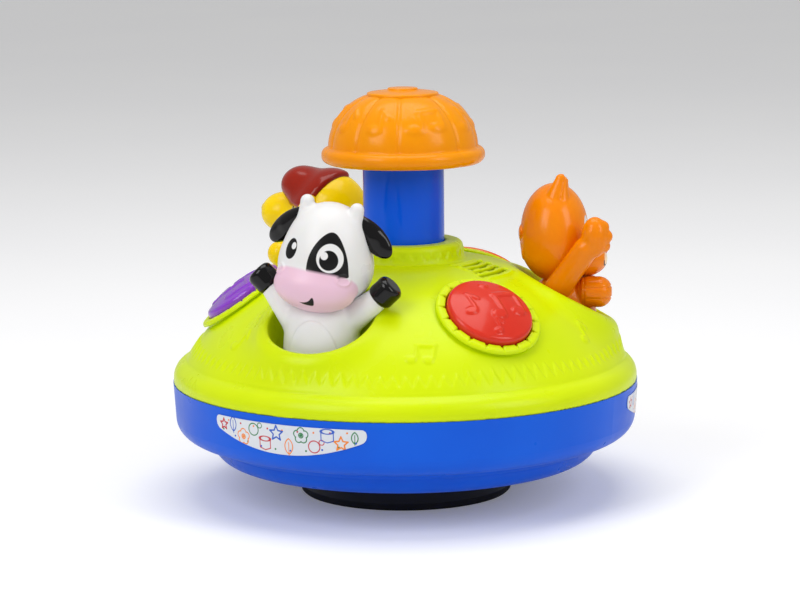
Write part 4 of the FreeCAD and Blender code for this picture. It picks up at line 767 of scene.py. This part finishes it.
def cap_field(points):
    """Mushroom cap of puffed lobes, with a rolled rim and notes in low relief."""
    out, high = polar(points)
    gap, across, wide = lobe_share(turn_of(points))
    puff = 0.3 * np.exp(-(gap * out / 0.8) ** 2) + 0.9 * np.abs(across) ** 3
    puff *= np.clip((out - 10.0) / 14.0, 0.0, 1.0)
    dome = np.hypot(np.maximum(out - CAP_CENTRE[0], 0), np.maximum(high - CAP_CENTRE[1], 0)) - CAP_ARC
    form = overlap(dome + puff, high - 192.7, 1.5)
    rim_out = out + 0.45 * puff
    rim = corner(rim_out - CAP_RIM, high - cap_low.z - CAP_RIM_TALL, 3.4)
    rim = np.maximum(rim, corner(rim_out - CAP_RIM, cap_low.z - high, 3.4))
    form = join(form, np.maximum(rim, CAP_NECK - 8.0 - out), 1.0)
    lean = np.arctan2(high - CAP_CENTRE[1], out - CAP_CENTRE[0])
    flat = np.stack([across * wide / 2 * 31.0, (lean - radians(36.0)) * CAP_ARC], axis=1)
    note = np.where(wide > 0.75, beamed_notes(flat * (0.8, 1.0), 15.0), single_note(flat, 14.0))
    form = form - 0.6 * ramp(-note / 2.8) * (high > cap_low.z + 9.0)
    hollow = np.maximum(dome + CAP_WALL + 0.4, high - 192.7 + CAP_WALL)
    hollow = np.minimum(hollow, np.maximum(out - CAP_NECK + CAP_WALL + 0.6, high - CAP_CENTRE[1]))
    skin = np.maximum(np.maximum(form, -hollow), cap_low.z - high)
    socket = np.maximum(np.abs(out - SOCKET - SOCKET_WALL / 2) - SOCKET_WALL / 2, SOCKET_FOOT - high)
    return np.minimum(skin, np.maximum(socket, form + 1.0))


def crown_field(points):
    """Domed disc on top of the cap, with a fine step at its edge and a small raised middle."""
    out, high = polar(points)
    arc = (CROWN ** 2 + (CROWN_TOP - CROWN_STEP) ** 2) / (2 * (CROWN_TOP - CROWN_STEP))
    disc_form = corner(out - CROWN, np.hypot(out, high - CROWN_TOP + arc) - arc, 0.7)
    middle = corner(out - CROWN_DISC, high - CROWN_TOP - 0.75, 0.5)
    return np.maximum(join(disc_form, middle, 0.5), 190.6 - high)


def cap():
    box = column(CAP_RIM + 1.5, cap_low.z - 1.5, cap_high.z + 2.0)
    thing, _ = moulded("cap_moulding", cap_field, *box, cell=0.6)
    dressed(thing, cap_orange, "plunger", "cap_orange", "cap_shell")
    box = column(19, 188.2, 196.5)
    thing, _ = moulded("cap_crown", crown_field, *box, cell=0.45, rounds=2)
    dressed(thing, cap_orange, "plunger", "cap_orange", "cap_top_disc")


# ---- labels ----

LABEL_HALF = 41.0
LABEL_TOP = 51.7
LABEL_DEEP = 13.9
LABEL_END = 5.5
LABEL_STEP = 0.35
LABEL_RAISE = 0.34
LABEL_CORNER = 2.4
LABEL_MOTIFS = 12
LABEL_DOTS = 19
INK_LINE = 0.27
SHELL_SLOPE = (112.3 - 111.2) / (55.0 - 37.0)
INKS = {
    "ink_red": (190, 24, 44),
    "ink_green": (20, 120, 60),
    "ink_orange": (236, 130, 30),
    "ink_blue": (30, 86, 190),
}


def star(x, y, size):
    tips = []
    for number in range(10):
        radius = size if number % 2 == 0 else size * 0.45
        turn = pi * number / 5
        tips.append((x + radius * sin(turn), y + radius * cos(turn)))
    return lambda flat: outline(flat, tips, 0.7)


def flower(x, y, size):
    def field(flat):
        petals = [
            disc(flat, x + size * 0.55 * sin(t), y + size * 0.55 * cos(t), size * 0.45)
            for t in (2 * pi * n / 5 for n in range(5))
        ]
        ring = np.abs(np.min(petals, axis=0)) - INK_LINE
        return np.minimum(ring, np.abs(disc(flat, x, y, size * 0.3)) - 0.25)
    return field


def leaf(x, y, size):
    def field(flat):
        sides = [disc(flat, x + way * size * 0.6, y, size * 1.15) for way in (-1, 1)]
        vein = stroke(flat, (x, y - size * 1.2), (x, y + size * 0.5), 0.45)
        return np.minimum(np.abs(np.maximum(*sides)) - INK_LINE, vein)
    return field


def bubbles(x, y, size):
    return lambda flat: np.minimum(
        np.abs(disc(flat, x, y, size * 0.75)) - INK_LINE,
        np.abs(disc(flat, x + size, y + size * 0.6, size * 0.32)) - 0.22)


def drum(x, y, size):
    def field(flat):
        rim = np.abs(disc(flat, x, y + size * 0.55, size * 0.8, size * 0.3)) - 0.25
        side = outline(flat, [(x - size * 0.8, y + size * 0.5), (x - size * 0.8, y - size * 0.6),
                              (x, y - size * 0.85), (x + size * 0.8, y - size * 0.6),
                              (x + size * 0.8, y + size * 0.5)], 0.5, closed=False)
        return np.minimum(rim, side)
    return field


MOTIFS = [star, leaf, flower, bubbles, drum]


def label_floor(along):
    """Height of the label's lower edge at a distance along it."""
    share = np.abs(along) / LABEL_HALF
    return LABEL_TOP - LABEL_END - (LABEL_DEEP - LABEL_END) * (1 - share ** 2)


def labels():
    count = int(2 * LABEL_HALF / LABEL_STEP)
    rows = int(LABEL_DEEP / LABEL_STEP)
    along = np.linspace(-1.0, 1.0, count + 1) * LABEL_HALF
    ends = np.clip((LABEL_HALF - np.abs(along)) / LABEL_CORNER, 0.0, 1.0)
    tuck = LABEL_CORNER * (1 - np.sqrt(1 - (1 - ends) ** 2))
    top, low = LABEL_TOP - tuck, label_floor(along) + tuck
    share = np.linspace(0.0, 1.0, rows + 1)
    flat_high = low[:, None] + (top - low)[:, None] * share[None, :]
    flat = np.stack([np.repeat(along, rows + 1), flat_high.ravel()], axis=1)
    inks = {name: np.full(len(flat), FAR) for name in INKS}
    names = list(INKS)
    spots = np.linspace(-LABEL_HALF + 5.5, LABEL_HALF - 5.5, LABEL_MOTIFS)
    for number, x in enumerate(spots):
        room = LABEL_TOP - label_floor(x)
        levels = (0.5,) if room < 8.5 else ((0.30,) if number % 2 else (0.70,))
        for level in levels:
            y = LABEL_TOP - room * level
            field = MOTIFS[number % len(MOTIFS)](x, y, min(3.7, room * 0.36))
            name = names[(number * 3) % len(names)]
            inks[name] = np.minimum(inks[name], field(flat))
    for number in range(LABEL_DOTS):
        x = -LABEL_HALF + 5.0 + number * 4.0
        y = LABEL_TOP - (LABEL_TOP - label_floor(x)) * (0.18 if number % 2 else 0.84)
        name = names[(number + 1) % len(names)]
        inks[name] = np.minimum(inks[name], disc(flat, x, y, 0.5))
    radius = RIM + 0.3 - (SEAM - flat[:, 1]) * SHELL_SLOPE
    grid = np.arange((count + 1) * (rows + 1)).reshape(count + 1, rows + 1)
    sheet = np.stack([grid[:-1, :-1], grid[1:, :-1], grid[1:, 1:], grid[:-1, 1:]], axis=-1)
    sheet = sheet.reshape(-1, 4)
    rim = np.concatenate([grid[:, 0], grid[-1, 1:], grid[::-1, -1][1:], grid[0, ::-1][1:]])
    wall = np.stack([rim[:-1], rim[:-1] + len(flat), rim[1:] + len(flat), rim[1:]], axis=1)
    faces = np.concatenate([sheet, (sheet + len(flat))[:, ::-1], wall])
    paper = plastic("label_print", (222, 226, 230), (214, 218, 224), 0.3, coat=0.3,
                    marks=[(name, ink, 0.18) for name, ink in INKS.items()], ripple=0.00001)
    for figure, angle in FIGURES.items():
        turn = radians(angle) + flat[:, 0] / RIM
        skins = []
        for lift in (LABEL_RAISE, 0.02):
            skins.append(np.stack([(radius + lift) * np.sin(turn), -(radius + lift) * np.cos(turn),
                                   flat[:, 1]], axis=1))
        thing = mesh_object(f"{figure}_side_label", np.concatenate(skins), faces)
        marked(thing, **{name: np.concatenate([ink, ink]) for name, ink in inks.items()})
        nodes = ("side_labels",) if figure == "cow" else ()
        dressed(thing, paper, "spinner", "label_print", *nodes)


# ---- animals: shared parts ----

def figure_place(name):
    return around(FIGURES[name], CUP_RING, CUP_FLOOR) @ spun(FIGURE_TURNS[name])


def face_plane(points, bend=20.0):
    """Points of a head unrolled onto its face: along the cheek, and up."""
    return np.stack([turn_of(points) * bend, points[:, 2]], axis=1)


def torso_field(points, wide=18.2, tall=37.0):
    """A soft round body that stands on the cup's floor and narrows to the neck."""
    squashed = points * (1.0, 1.06, 1.0)
    belly = wide * (1.0 - 0.0016 * np.clip(points[:, 2] - 8.0, 0, None) ** 2 / 8.0)
    out = np.hypot(squashed[:, 0], squashed[:, 1])
    side = corner(out - belly, points[:, 2] - tall, 9.0)
    return np.maximum(side, corner(out - belly, -points[:, 2], 2.5))


def bib_relief(points):
    """A fine raised line round the tummy."""
    flat = face_plane(points, 18.0)
    line = disc(flat, 0.0, 11.0, 12.8, 18.5)
    return 0.8 * ramp(-line / 0.6) * (points[:, 1] < 0)


AWAY = 50.0


def facing(points, marks):
    """Marks kept to the front half of a head."""
    away = np.where(points[:, 1] < 0, 0.0, AWAY)
    return {name: mark + away for name, mark in marks.items()}


def printed(**colours):
    """Marks with a sharp edge, for a plastic, from their colours."""
    return [(name, colour, 0.25) for name, colour in colours.items()]


def figure_piece(name, label, field, reach, cell, material, slot, marks=None,
                 own=Matrix.Identity(4)):
    """Mould one part of an animal in its own place and dress it."""
    place = figure_place(name) @ own
    thing, points = moulded(f"{name}_{label}_moulding", field, *reach, cell, place)
    if marks:
        marked(thing, **marks(points))
    dressed(thing, material, "spinner", slot, f"{name}_{label}")


# ---- cow ----

COW_HEAD = spot(1.4, 0, 52.3) @ spun(8.7, "Y")
COW_HANDS = {-1: (-25.6, 0.0, 44.4), 1: (29.0, 0.0, 39.8)}
COW_SHOULDER = (12.5, 0.0, 27.5)


def cow_skull(points):
    upper = oval(points, (0.3, 1.5, 8.5), (19.6, 19.6, 21.4))
    lower = oval(points, (0.3, 2.0, -1.5), (21.6, 20.4, 16.5))
    return join(upper, lower, 8.0)


def cow_muzzle(points):
    return oval(points, (0, -10.5, -8.0), (19.4, 12.6, 11.4))


def cow_head_field(points):
    form = join(cow_skull(points), cow_muzzle(points), 3.0)
    for side in (-1, 1):
        form = join(form, limb(points, (side * 11.0, 0, 22.5), (side * 12.0, 0, 28.6), 4.5, 3.2), 1.6)
    flat = face_plane(points, 22.0)
    for side in (-1, 1):
        nostril = np.abs(disc(flat, side * 17.8 - 1.6, -1.6, 3.3, 2.1)) - 0.45
        form = form - 0.6 * ramp(-nostril / 0.9) * (points[:, 1] < 0)
    return form


def cow_marks(points):
    flat = face_plane(points)
    eye = (7.9, 7.7)
    patch = [(-10.8, -4.8), (-10.3, 0.5), (-8.2, 5.7), (-4.6, 9.8), (-0.7, 11.7), (2.8, 11.0),
             (5.6, 7.6), (8.2, 1.5), (9.3, -5.2), (9.8, -8.7), (-10.1, -8.5)]
    patch = polygon(flat, softened([(eye[0] + x, eye[1] + y) for x, y in patch]))
    pink = cow_muzzle(points) - cow_skull(points) * 0.25 - 0.9
    smile = [(-1.2, -13.8), (-0.2, -13.9), (1.8, -13.6), (3.5, -12.6), (4.4, -10.9), (4.9, -10.3),
             (5.7, -12.0), (5.8, -14.5), (4.8, -14.8), (2.7, -14.8), (0.6, -14.5)]
    return facing(points, {
        "patch": patch,
        "ring": disc(flat, *eye, 6.5),
        "pupil": discs(flat, (eye[0] - 0.5, eye[1] - 1.0, 4.5), (-13.9, 8.4, 3.9, 4.8)),
        "glint": discs(flat, (eye[0] - 2.9, eye[1] + 0.8, 1.8), (-12.4, 10.0, 1.6)),
        "pink": pink,
        "smile": polygon(flat, softened([(x - 2.3, y) for x, y in smile])),
    })


COW_EARS = {1: ((11.5, 2.0, 24.5), (29.2, 2.0, 10.2)), -1: ((-12.5, 1.0, 24.0), (-29.0, 8.0, 7.0))}


def cow_ear_field(side):
    """A glossy leaf, narrow at its root on the head."""
    root, tip = COW_EARS[side]
    place = COW_HEAD @ aimed(root, tip, (side * 0.25, -1, 0))
    long = (Vector(tip) - Vector(root)).length

    def field(points):
        own = within(points, place)
        leaf_form = oval(own, (0, 0, long * 0.54), (5.6, 3.0, long * 0.5))
        return join(leaf_form, limb(own, (0, 0, 1.5), (0, 0, long * 0.5), 2.2, 2.6), 4.0)
    return field


def cow():
    look = dict(colour=WHITE, deep=(225, 224, 223), gloss=0.32, glow=0.15)
    marks = printed(patch=BLACK, ring=WHITE, pupil=BLACK, glint=WHITE)
    marks += [("pink", PINK, 0.8), *printed(smile=BLACK)]
    white_head, white = plastic("cow_head", **look, marks=marks), plastic("cow_white", **look)
    black = plastic("cow_black", BLACK, (8, 7, 8), 0.1, coat=0.5, shine=0.1)
    figure_piece("cow", "head", cow_head_field, ((-26, -28, -23), (26, 26, 37)), 0.5,
                 white_head, "animal_white", cow_marks, COW_HEAD)

    def body(points):
        form = torso_field(points) - bib_relief(points)
        for side, hand in COW_HANDS.items():
            shoulder = (side * COW_SHOULDER[0], COW_SHOULDER[1], COW_SHOULDER[2])
            form = join(form, limb(points, shoulder, hand, 7.4, 5.0), 2.0)
        return form

    figure_piece("cow", "body", body, ((-38, -21, -1.5), (38, 21, 54)), 0.6,
                 white, "animal_white")

    def ears(points):
        return np.minimum(cow_ear_field(-1)(points), cow_ear_field(1)(points))

    figure_piece("cow", "ears", ears, ((-42, -8, 44), (42, 14, 88)), 0.45,
                 black, "animal_black")

    def hooves(points):
        parts = []
        for side, hand in COW_HANDS.items():
            way = np.array([side * 0.72, 0.0, 0.69])
            hand = np.array(hand)
            parts.append(barrel(points, hand - way * 3.2, hand + way * 7.6, 6.4, 2.6))
        return np.minimum(*parts)

    figure_piece("cow", "hooves", hooves, ((-44, -9, 32), (44, 9, 60)), 0.45,
                 black, "animal_black")


# ---- cat ----

CAT_HEAD = spot(0, 0, 56.0) @ spun(9.0, "Y")
CAT_SNOUT = ((0, -10.5, -11.0), (11.5, 11.0, 8.4))


def cat_head_field(points):
    form = oval(points, (0, 4.0, 2.6), (19.6, 16.3, 23.0))
    form = join(form, oval(points, (0, 3.5, -5.0), (18.0, 15.4, 16.0)), 5.0)
    form = join(form, oval(points, *CAT_SNOUT), 4.0)
    form = join(form, oval(points, (0, -20.2, -6.4), (2.6, 1.8, 1.8)), 1.0)
    for side in (-1, 1):
        own = (points - (side * 10.5, 2.2, 0.0)) * (1.35, 1.0, 1.0)
        ear = limb(own, (0, 0.8, 14.6), (side * 1.4, -1.6, 26.6), 7.4, 2.8) * 0.8
        fold = np.abs(own[:, 1] + 2.2 + (points[:, 2] - 20.0) * 0.15) - 0.3
        ear = ear + 0.5 * ramp(-fold / 0.8) * (points[:, 2] > 17.0)
        form = join(form, ear, 0.4)
    for height, back in ((1.4, 20.0), (-7.6, 18.6)):
        form = join(form, oval(points, (0, back, height), (8.5, 1.3, 4.0)), 0.5)
    return form


def cat_marks(points):
    flat = face_plane(points)
    arcs = [np.abs(disc(flat, x, -11.4, 2.7)) - 0.4 for x in (-2.6, 2.6)]
    return facing(points, {
        "eye": discs(flat, (-8.6, 3.4, 5.4, 6.4), (8.6, 3.4, 5.4, 6.4)),
        "pupil": discs(flat, (-7.6, 2.8, 3.6, 4.6), (7.6, 2.8, 3.6, 4.6)),
        "glint": discs(flat, (-8.8, 4.8, 1.5), (6.4, 4.8, 1.5)),
        "snout": np.maximum(oval(points, *CAT_SNOUT) - 0.5, points[:, 1] + 20.4),
        "nose": oval(points, (0, -20.2, -6.4), (3.0, 2.2, 2.1)) - 0.2,
        "smile": np.maximum(np.minimum(*arcs), flat[:, 1] + 11.8),
    })


def paw(points, centre, radii, fingers):
    """A soft fist with rounded fingers, given by their offsets from its centre."""
    form = oval(points, centre, radii)
    for x, y, z, radius in fingers:
        form = join(form, oval(points, np.array(centre) + (x, y, z), (radius, radius, radius)), 0.9)
    return form


def cat():
    look = dict(colour=(241, 137, 0), deep=(236, 127, 0), **GLOSSY)
    marks = printed(eye=WHITE, pupil=BLACK, glint=WHITE)
    marks += [("snout", (252, 226, 190), 0.8), ("nose", (214, 92, 60), 0.3), *printed(smile=BLACK)]
    orange_head, orange = plastic("cat_head", **look, marks=marks), plastic("cat_orange", **look)
    figure_piece("cat", "head", cat_head_field, ((-24, -27, -27), (24, 28, 34)), 0.5,
                 orange_head, "cat_orange", cat_marks, CAT_HEAD)

    def body(points):
        form = torso_field(points, 17.6, 36.0)
        form = join(form, limb(points, (-15.0, 2.0, 33.0), (-20.4, -11.5, 52.5), 6.4, 5.9), 2.0)
        fingers = [(0.5, -3.6, 4.6, 3.2), (0.5, -5.0, 0.2, 3.4), (0.8, -4.2, -4.4, 3.1)]
        form = join(form, paw(points, (-20.6, -15.8, 58.4), (6.4, 6.4, 9.6), fingers), 1.5)
        form = join(form, limb(points, (12.5, -3.0, 28.0), (2.0, -13.0, 30.0), 6.4, 6.6), 3.0)
        fist = barrel(points, (-8.5, -6.0, 30.2), (-8.5, -23.8, 30.2), 7.4, 6.2)
        cuff = np.abs(np.abs(points[:, 1] + 9.6) - 1.0) - 0.3
        fingers = np.abs(np.abs(points[:, 2] - 30.4) - 2.6) - 0.3
        fist = fist + 0.45 * ramp(-cuff / 0.6) + 0.45 * ramp(-fingers / 0.6) * (points[:, 1] < -11.5)
        return join(form, fist, 0.8)

    figure_piece("cat", "body", body, ((-32, -32, -1.5), (26, 21, 74)), 0.6,
                 orange, "cat_orange")


# ---- pony ----

PONY_HEAD = spot(0, 0, 57.0)
PONY_HANDS = {-1: (-26.0, -9.0, 41.0), 1: (26.0, -9.0, 41.0)}


def pony_skull(points):
    upper = oval(points, (0, 2.5, 1.8), (18.6, 19.4, 21.6))
    return join(upper, oval(points, (0, 2.0, -5.0), (16.5, 16.5, 17.5)), 6.0)


def pony_head_field(points):
    form = join(pony_skull(points), limb(points, (0, -6.0, -1.0), (0, -27.0, 0.4), 11.4, 9.8), 4.0)
    form = join(form, oval(points, (0, -30.2, 0.6), (11.8, 10.8, 10.2)), 2.0)
    flat = points[:, [0, 2]]
    for side in (-1, 1):
        nostril = np.abs(disc(flat, side * 5.4, 3.4, 1.9, 1.4)) - 0.35
        form = form - 0.4 * ramp(-nostril / 0.7) * (points[:, 1] < -32)
    return form


def pony_marks(points):
    flat = face_plane(points)
    side = np.stack([np.abs(flat[:, 0]), flat[:, 1]], axis=1)
    front = points[:, [0, 2]]
    smile = np.maximum(np.abs(disc(front, 0, -0.7, 4.6)) - 0.4, front[:, 1] + 2.4)
    eyes = facing(points, {
        "eye": disc(side, 15.5, 9.0, 4.8, 5.8),
        "pupil": disc(side, 14.6, 8.4, 3.3, 4.2),
        "glint": disc(side, 13.6, 10.2, 1.3),
    })
    return {**eyes, "smile": np.where(points[:, 1] < -28, smile, AWAY)}


def pony_mane_field(points):
    """A thick cap of hair with a round forelock, open at the nape."""
    form = overlap(pony_skull(points) - 2.0, 6.5 - points[:, 2], 3.0)
    form = overlap(form, (7.2 + 2.0 * (points[:, 1] - 3.4) - points[:, 2]) / 2.24, 3.0)
    form = np.maximum(form, -points[:, 1] - 14.0)
    form = overlap(form, -points[:, 0] - 7.0, 3.0)
    form = join(form, oval(points, (3.0, -13.6, 16.0), (11.5, 11.0, 9.8)), 6.0)
    return overlap(form, -(pony_skull(points) + 3.0), 0.5)


def pony():
    look = dict(colour=(250, 214, 0), deep=(246, 206, 0), **GLOSSY)
    marks = printed(eye=WHITE, pupil=BLACK, glint=WHITE, smile=BLACK)
    yellow_head, yellow = plastic("pony_head", **look, marks=marks), plastic("pony_yellow", **look)
    brown = plastic("pony_mane", (150, 30, 10), (136, 24, 8), 0.2, coat=0.25, shine=0.2)
    figure_piece("pony", "head", pony_head_field, ((-22, -44, -25), (22, 26, 27)), 0.55,
                 yellow_head, "pony_yellow", pony_marks, PONY_HEAD)

    def body(points):
        form = torso_field(points, 17.6, 37.0)
        for side, hand in PONY_HANDS.items():
            form = join(form, limb(points, (side * 12.5, 0, 28.0), hand, 7.0, 6.4), 3.0)
        return form

    figure_piece("pony", "body", body, ((-36, -22, -1.5), (36, 21, 52)), 0.6,
                 yellow, "pony_yellow")

    def ears(points):
        parts = []
        for side in (-1, 1):
            own = within(points, PONY_HEAD @ spot(side * 20.0, 4.0, 7.0) @ spun(side * 128.0, "Y"))
            ear = oval(own, (0, 0, 0), (5.0, 3.4, 9.5))
            parts.append(carve(ear, oval(own, (0, -4.2, 0.5), (3.4, 3.2, 6.6)), 1.0))
        return np.minimum(*parts)

    figure_piece("pony", "ears", ears, ((-36, -8, 48), (36, 14, 80)), 0.45,
                 yellow, "pony_yellow")
    figure_piece("pony", "mane", pony_mane_field, ((-23, -28, -2), (23, 26, 30)), 0.5,
                 brown, "mane_brown", None, PONY_HEAD)


# ---- CAD nodes that stay ----

STAYING = (
    (shell_blue, "lower_shell battery_door"),
    (post_blue, "plunger_post"),
    (stand_black, "base_housing power_switch_knob power_switch_body drive_nut"),
    (foot_rubber, "base_foot_ring"),
    (board_green, "main_circuit_board button_boards"),
    (lamp_clear, "button_leds"),
    (cell_case, "batteries speaker"),
)
SHARP_ANGLE = 32.0
STEEL_WORDS = ("screw", "spring", "circlip", "contacts", "washer")


def finish_staying_nodes():
    """Smooth shading and a finish for each CAD node that no new piece stands for."""
    named = {node: finish for finish, nodes in STAYING for node in nodes.split()}
    for name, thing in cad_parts.items():
        plain = steel if any(word in name for word in STEEL_WORDS) else inner_plastic
        material = named.get(name, plain)
        thing.data.materials.clear()
        thing.data.materials.append(material)
        thing.data.shade_smooth()
        thing.data.set_sharp_from_angle(angle=radians(SHARP_ANGLE))
        evener = thing.modifiers.new("even_normals", "WEIGHTED_NORMAL")
        evener.keep_sharp = True
        evener.weight = 90


# ---- floor and lamps, in metres, and camera, in millimetres ----

FLOOR_REACH = 7.0
FLOOR_SIDES = 96
FLOOR_GLOW = 0.16
AIR_STRENGTH = 0.42


def studio():
    """A wide pale floor, which is clear when it is seen from below."""
    turns = [2 * pi * number / FLOOR_SIDES for number in range(FLOOR_SIDES)]
    mesh = bpy.data.meshes.new("studio_floor")
    corners = [(FLOOR_REACH * cos(turn), FLOOR_REACH * sin(turn), 0.0) for turn in turns]
    mesh.from_pydata(corners, [], [tuple(range(FLOOR_SIDES))])
    floor = in_scene("studio_floor", mesh)
    paper = Recipe("floor_paper")
    clouds = paper.between(paper.noise(3.0), 0, 1)
    shade = paper.blend(clouds, linear(244, 244, 245), linear(241, 241, 243))
    paper.join(shade, paper.shader.inputs["Base Color"])
    paper.set(Roughness=0.6, Emission_Color=(1.0, 1.0, 1.0, 1.0))
    glow = paper.add("ShaderNodeMath", operation="MULTIPLY")
    glow.inputs[1].default_value = FLOOR_GLOW
    paper.join(paper.add("ShaderNodeLightPath").outputs["Is Camera Ray"], glow.inputs[0])
    paper.join(glow.outputs["Value"], paper.shader.inputs["Emission Strength"])
    clear = paper.add("ShaderNodeBsdfTransparent")
    sides = paper.add("ShaderNodeMixShader")
    paper.join(paper.add("ShaderNodeNewGeometry").outputs["Backfacing"], sides.inputs["Fac"])
    paper.join(paper.shader.outputs["BSDF"], sides.inputs[1])
    paper.join(clear.outputs["BSDF"], sides.inputs[2])
    paper.join(sides.outputs["Shader"], paper.nodes["Material Output"].inputs["Surface"])
    mesh.materials.append(paper.material)
    floor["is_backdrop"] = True


def lamp(name, place, target, size, energy):
    data = bpy.data.lights.new(name, "AREA")
    data.shape = "RECTANGLE"
    data.size, data.size_y = size
    data.energy = energy
    thing = in_scene(name, data)
    thing.location = place
    thing.rotation_euler = (Vector(target) - Vector(place)).to_track_quat("-Z", "Y").to_euler()


def lights():
    view = spun(30.0).to_3x3()
    middle = (0.0, 0.0, 0.09)
    lamp("left_box", view @ Vector((-0.9, -0.9, 1.0)), middle, (0.7, 0.9), 9.0)
    lamp("right_box", view @ Vector((1.1, -0.7, 0.9)), middle, (0.5, 0.9), 6.0)
    lamp("top_box", view @ Vector((0.0, 0.1, 1.5)), middle, (1.2, 1.0), 10.5)
    world = bpy.data.worlds.new("studio_air")
    world.use_nodes = True
    nodes, links = world.node_tree.nodes, world.node_tree.links
    air, seen = nodes["Background"], nodes.new("ShaderNodeBackground")
    fill(air, Color=(1.0, 1.0, 1.0, 1.0), Strength=AIR_STRENGTH)
    fill(seen, Color=(0.93, 0.93, 0.94, 1.0), Strength=1.0)
    rays = nodes.new("ShaderNodeLightPath")
    mix = nodes.new("ShaderNodeMixShader")
    links.new(rays.outputs["Is Camera Ray"], mix.inputs["Fac"])
    links.new(air.outputs["Background"], mix.inputs[1])
    links.new(seen.outputs["Background"], mix.inputs[2])
    links.new(mix.outputs["Shader"], nodes["World Output"].inputs["Surface"])
    bpy.context.scene.world = world
    bpy.context.scene.view_settings.view_transform = "Standard"


CAMERA_AZIMUTH = 30.0
CAMERA_ELEVATION = 9.366
CAMERA_ROLL = 0.5377
CAMERA_DISTANCE = 1366.0
CAMERA_TARGET_SIDE = -2.2
CAMERA_TARGET_HEIGHT = 92.4
FOCAL_PIXELS = 2825.0
PHOTO_WIDTH = 800.0
SENSOR = 36.0


def camera():
    turn, rise, roll = (radians(a) for a in (CAMERA_AZIMUTH, CAMERA_ELEVATION, CAMERA_ROLL))
    right = Vector((cos(turn), sin(turn), 0.0))
    back = Vector((sin(turn) * cos(rise), -cos(turn) * cos(rise), sin(rise)))
    up = back.cross(right)
    across = right * cos(roll) - up * sin(roll)
    upright = right * sin(roll) + up * cos(roll)
    data = bpy.data.cameras.new("front_view")
    data.sensor_width = SENSOR
    data.lens = FOCAL_PIXELS * SENSOR / PHOTO_WIDTH
    thing = in_scene("front_view", data)
    target = right * CAMERA_TARGET_SIDE + Vector((0, 0, CAMERA_TARGET_HEIGHT))
    place = Matrix.Translation((target + back * CAMERA_DISTANCE) * MM)
    thing.matrix_world = place @ Matrix((across, upright, back)).transposed().to_4x4()
    bpy.context.scene.camera = thing


finish_staying_nodes()
camera()
studio()
lights()
dome()
bezels()
buttons()
cap()
labels()
cow()
cat()
pony()
visual_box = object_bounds()
for low, high in (cad_box, visual_box):
    json.dumps([list(low), list(high)])
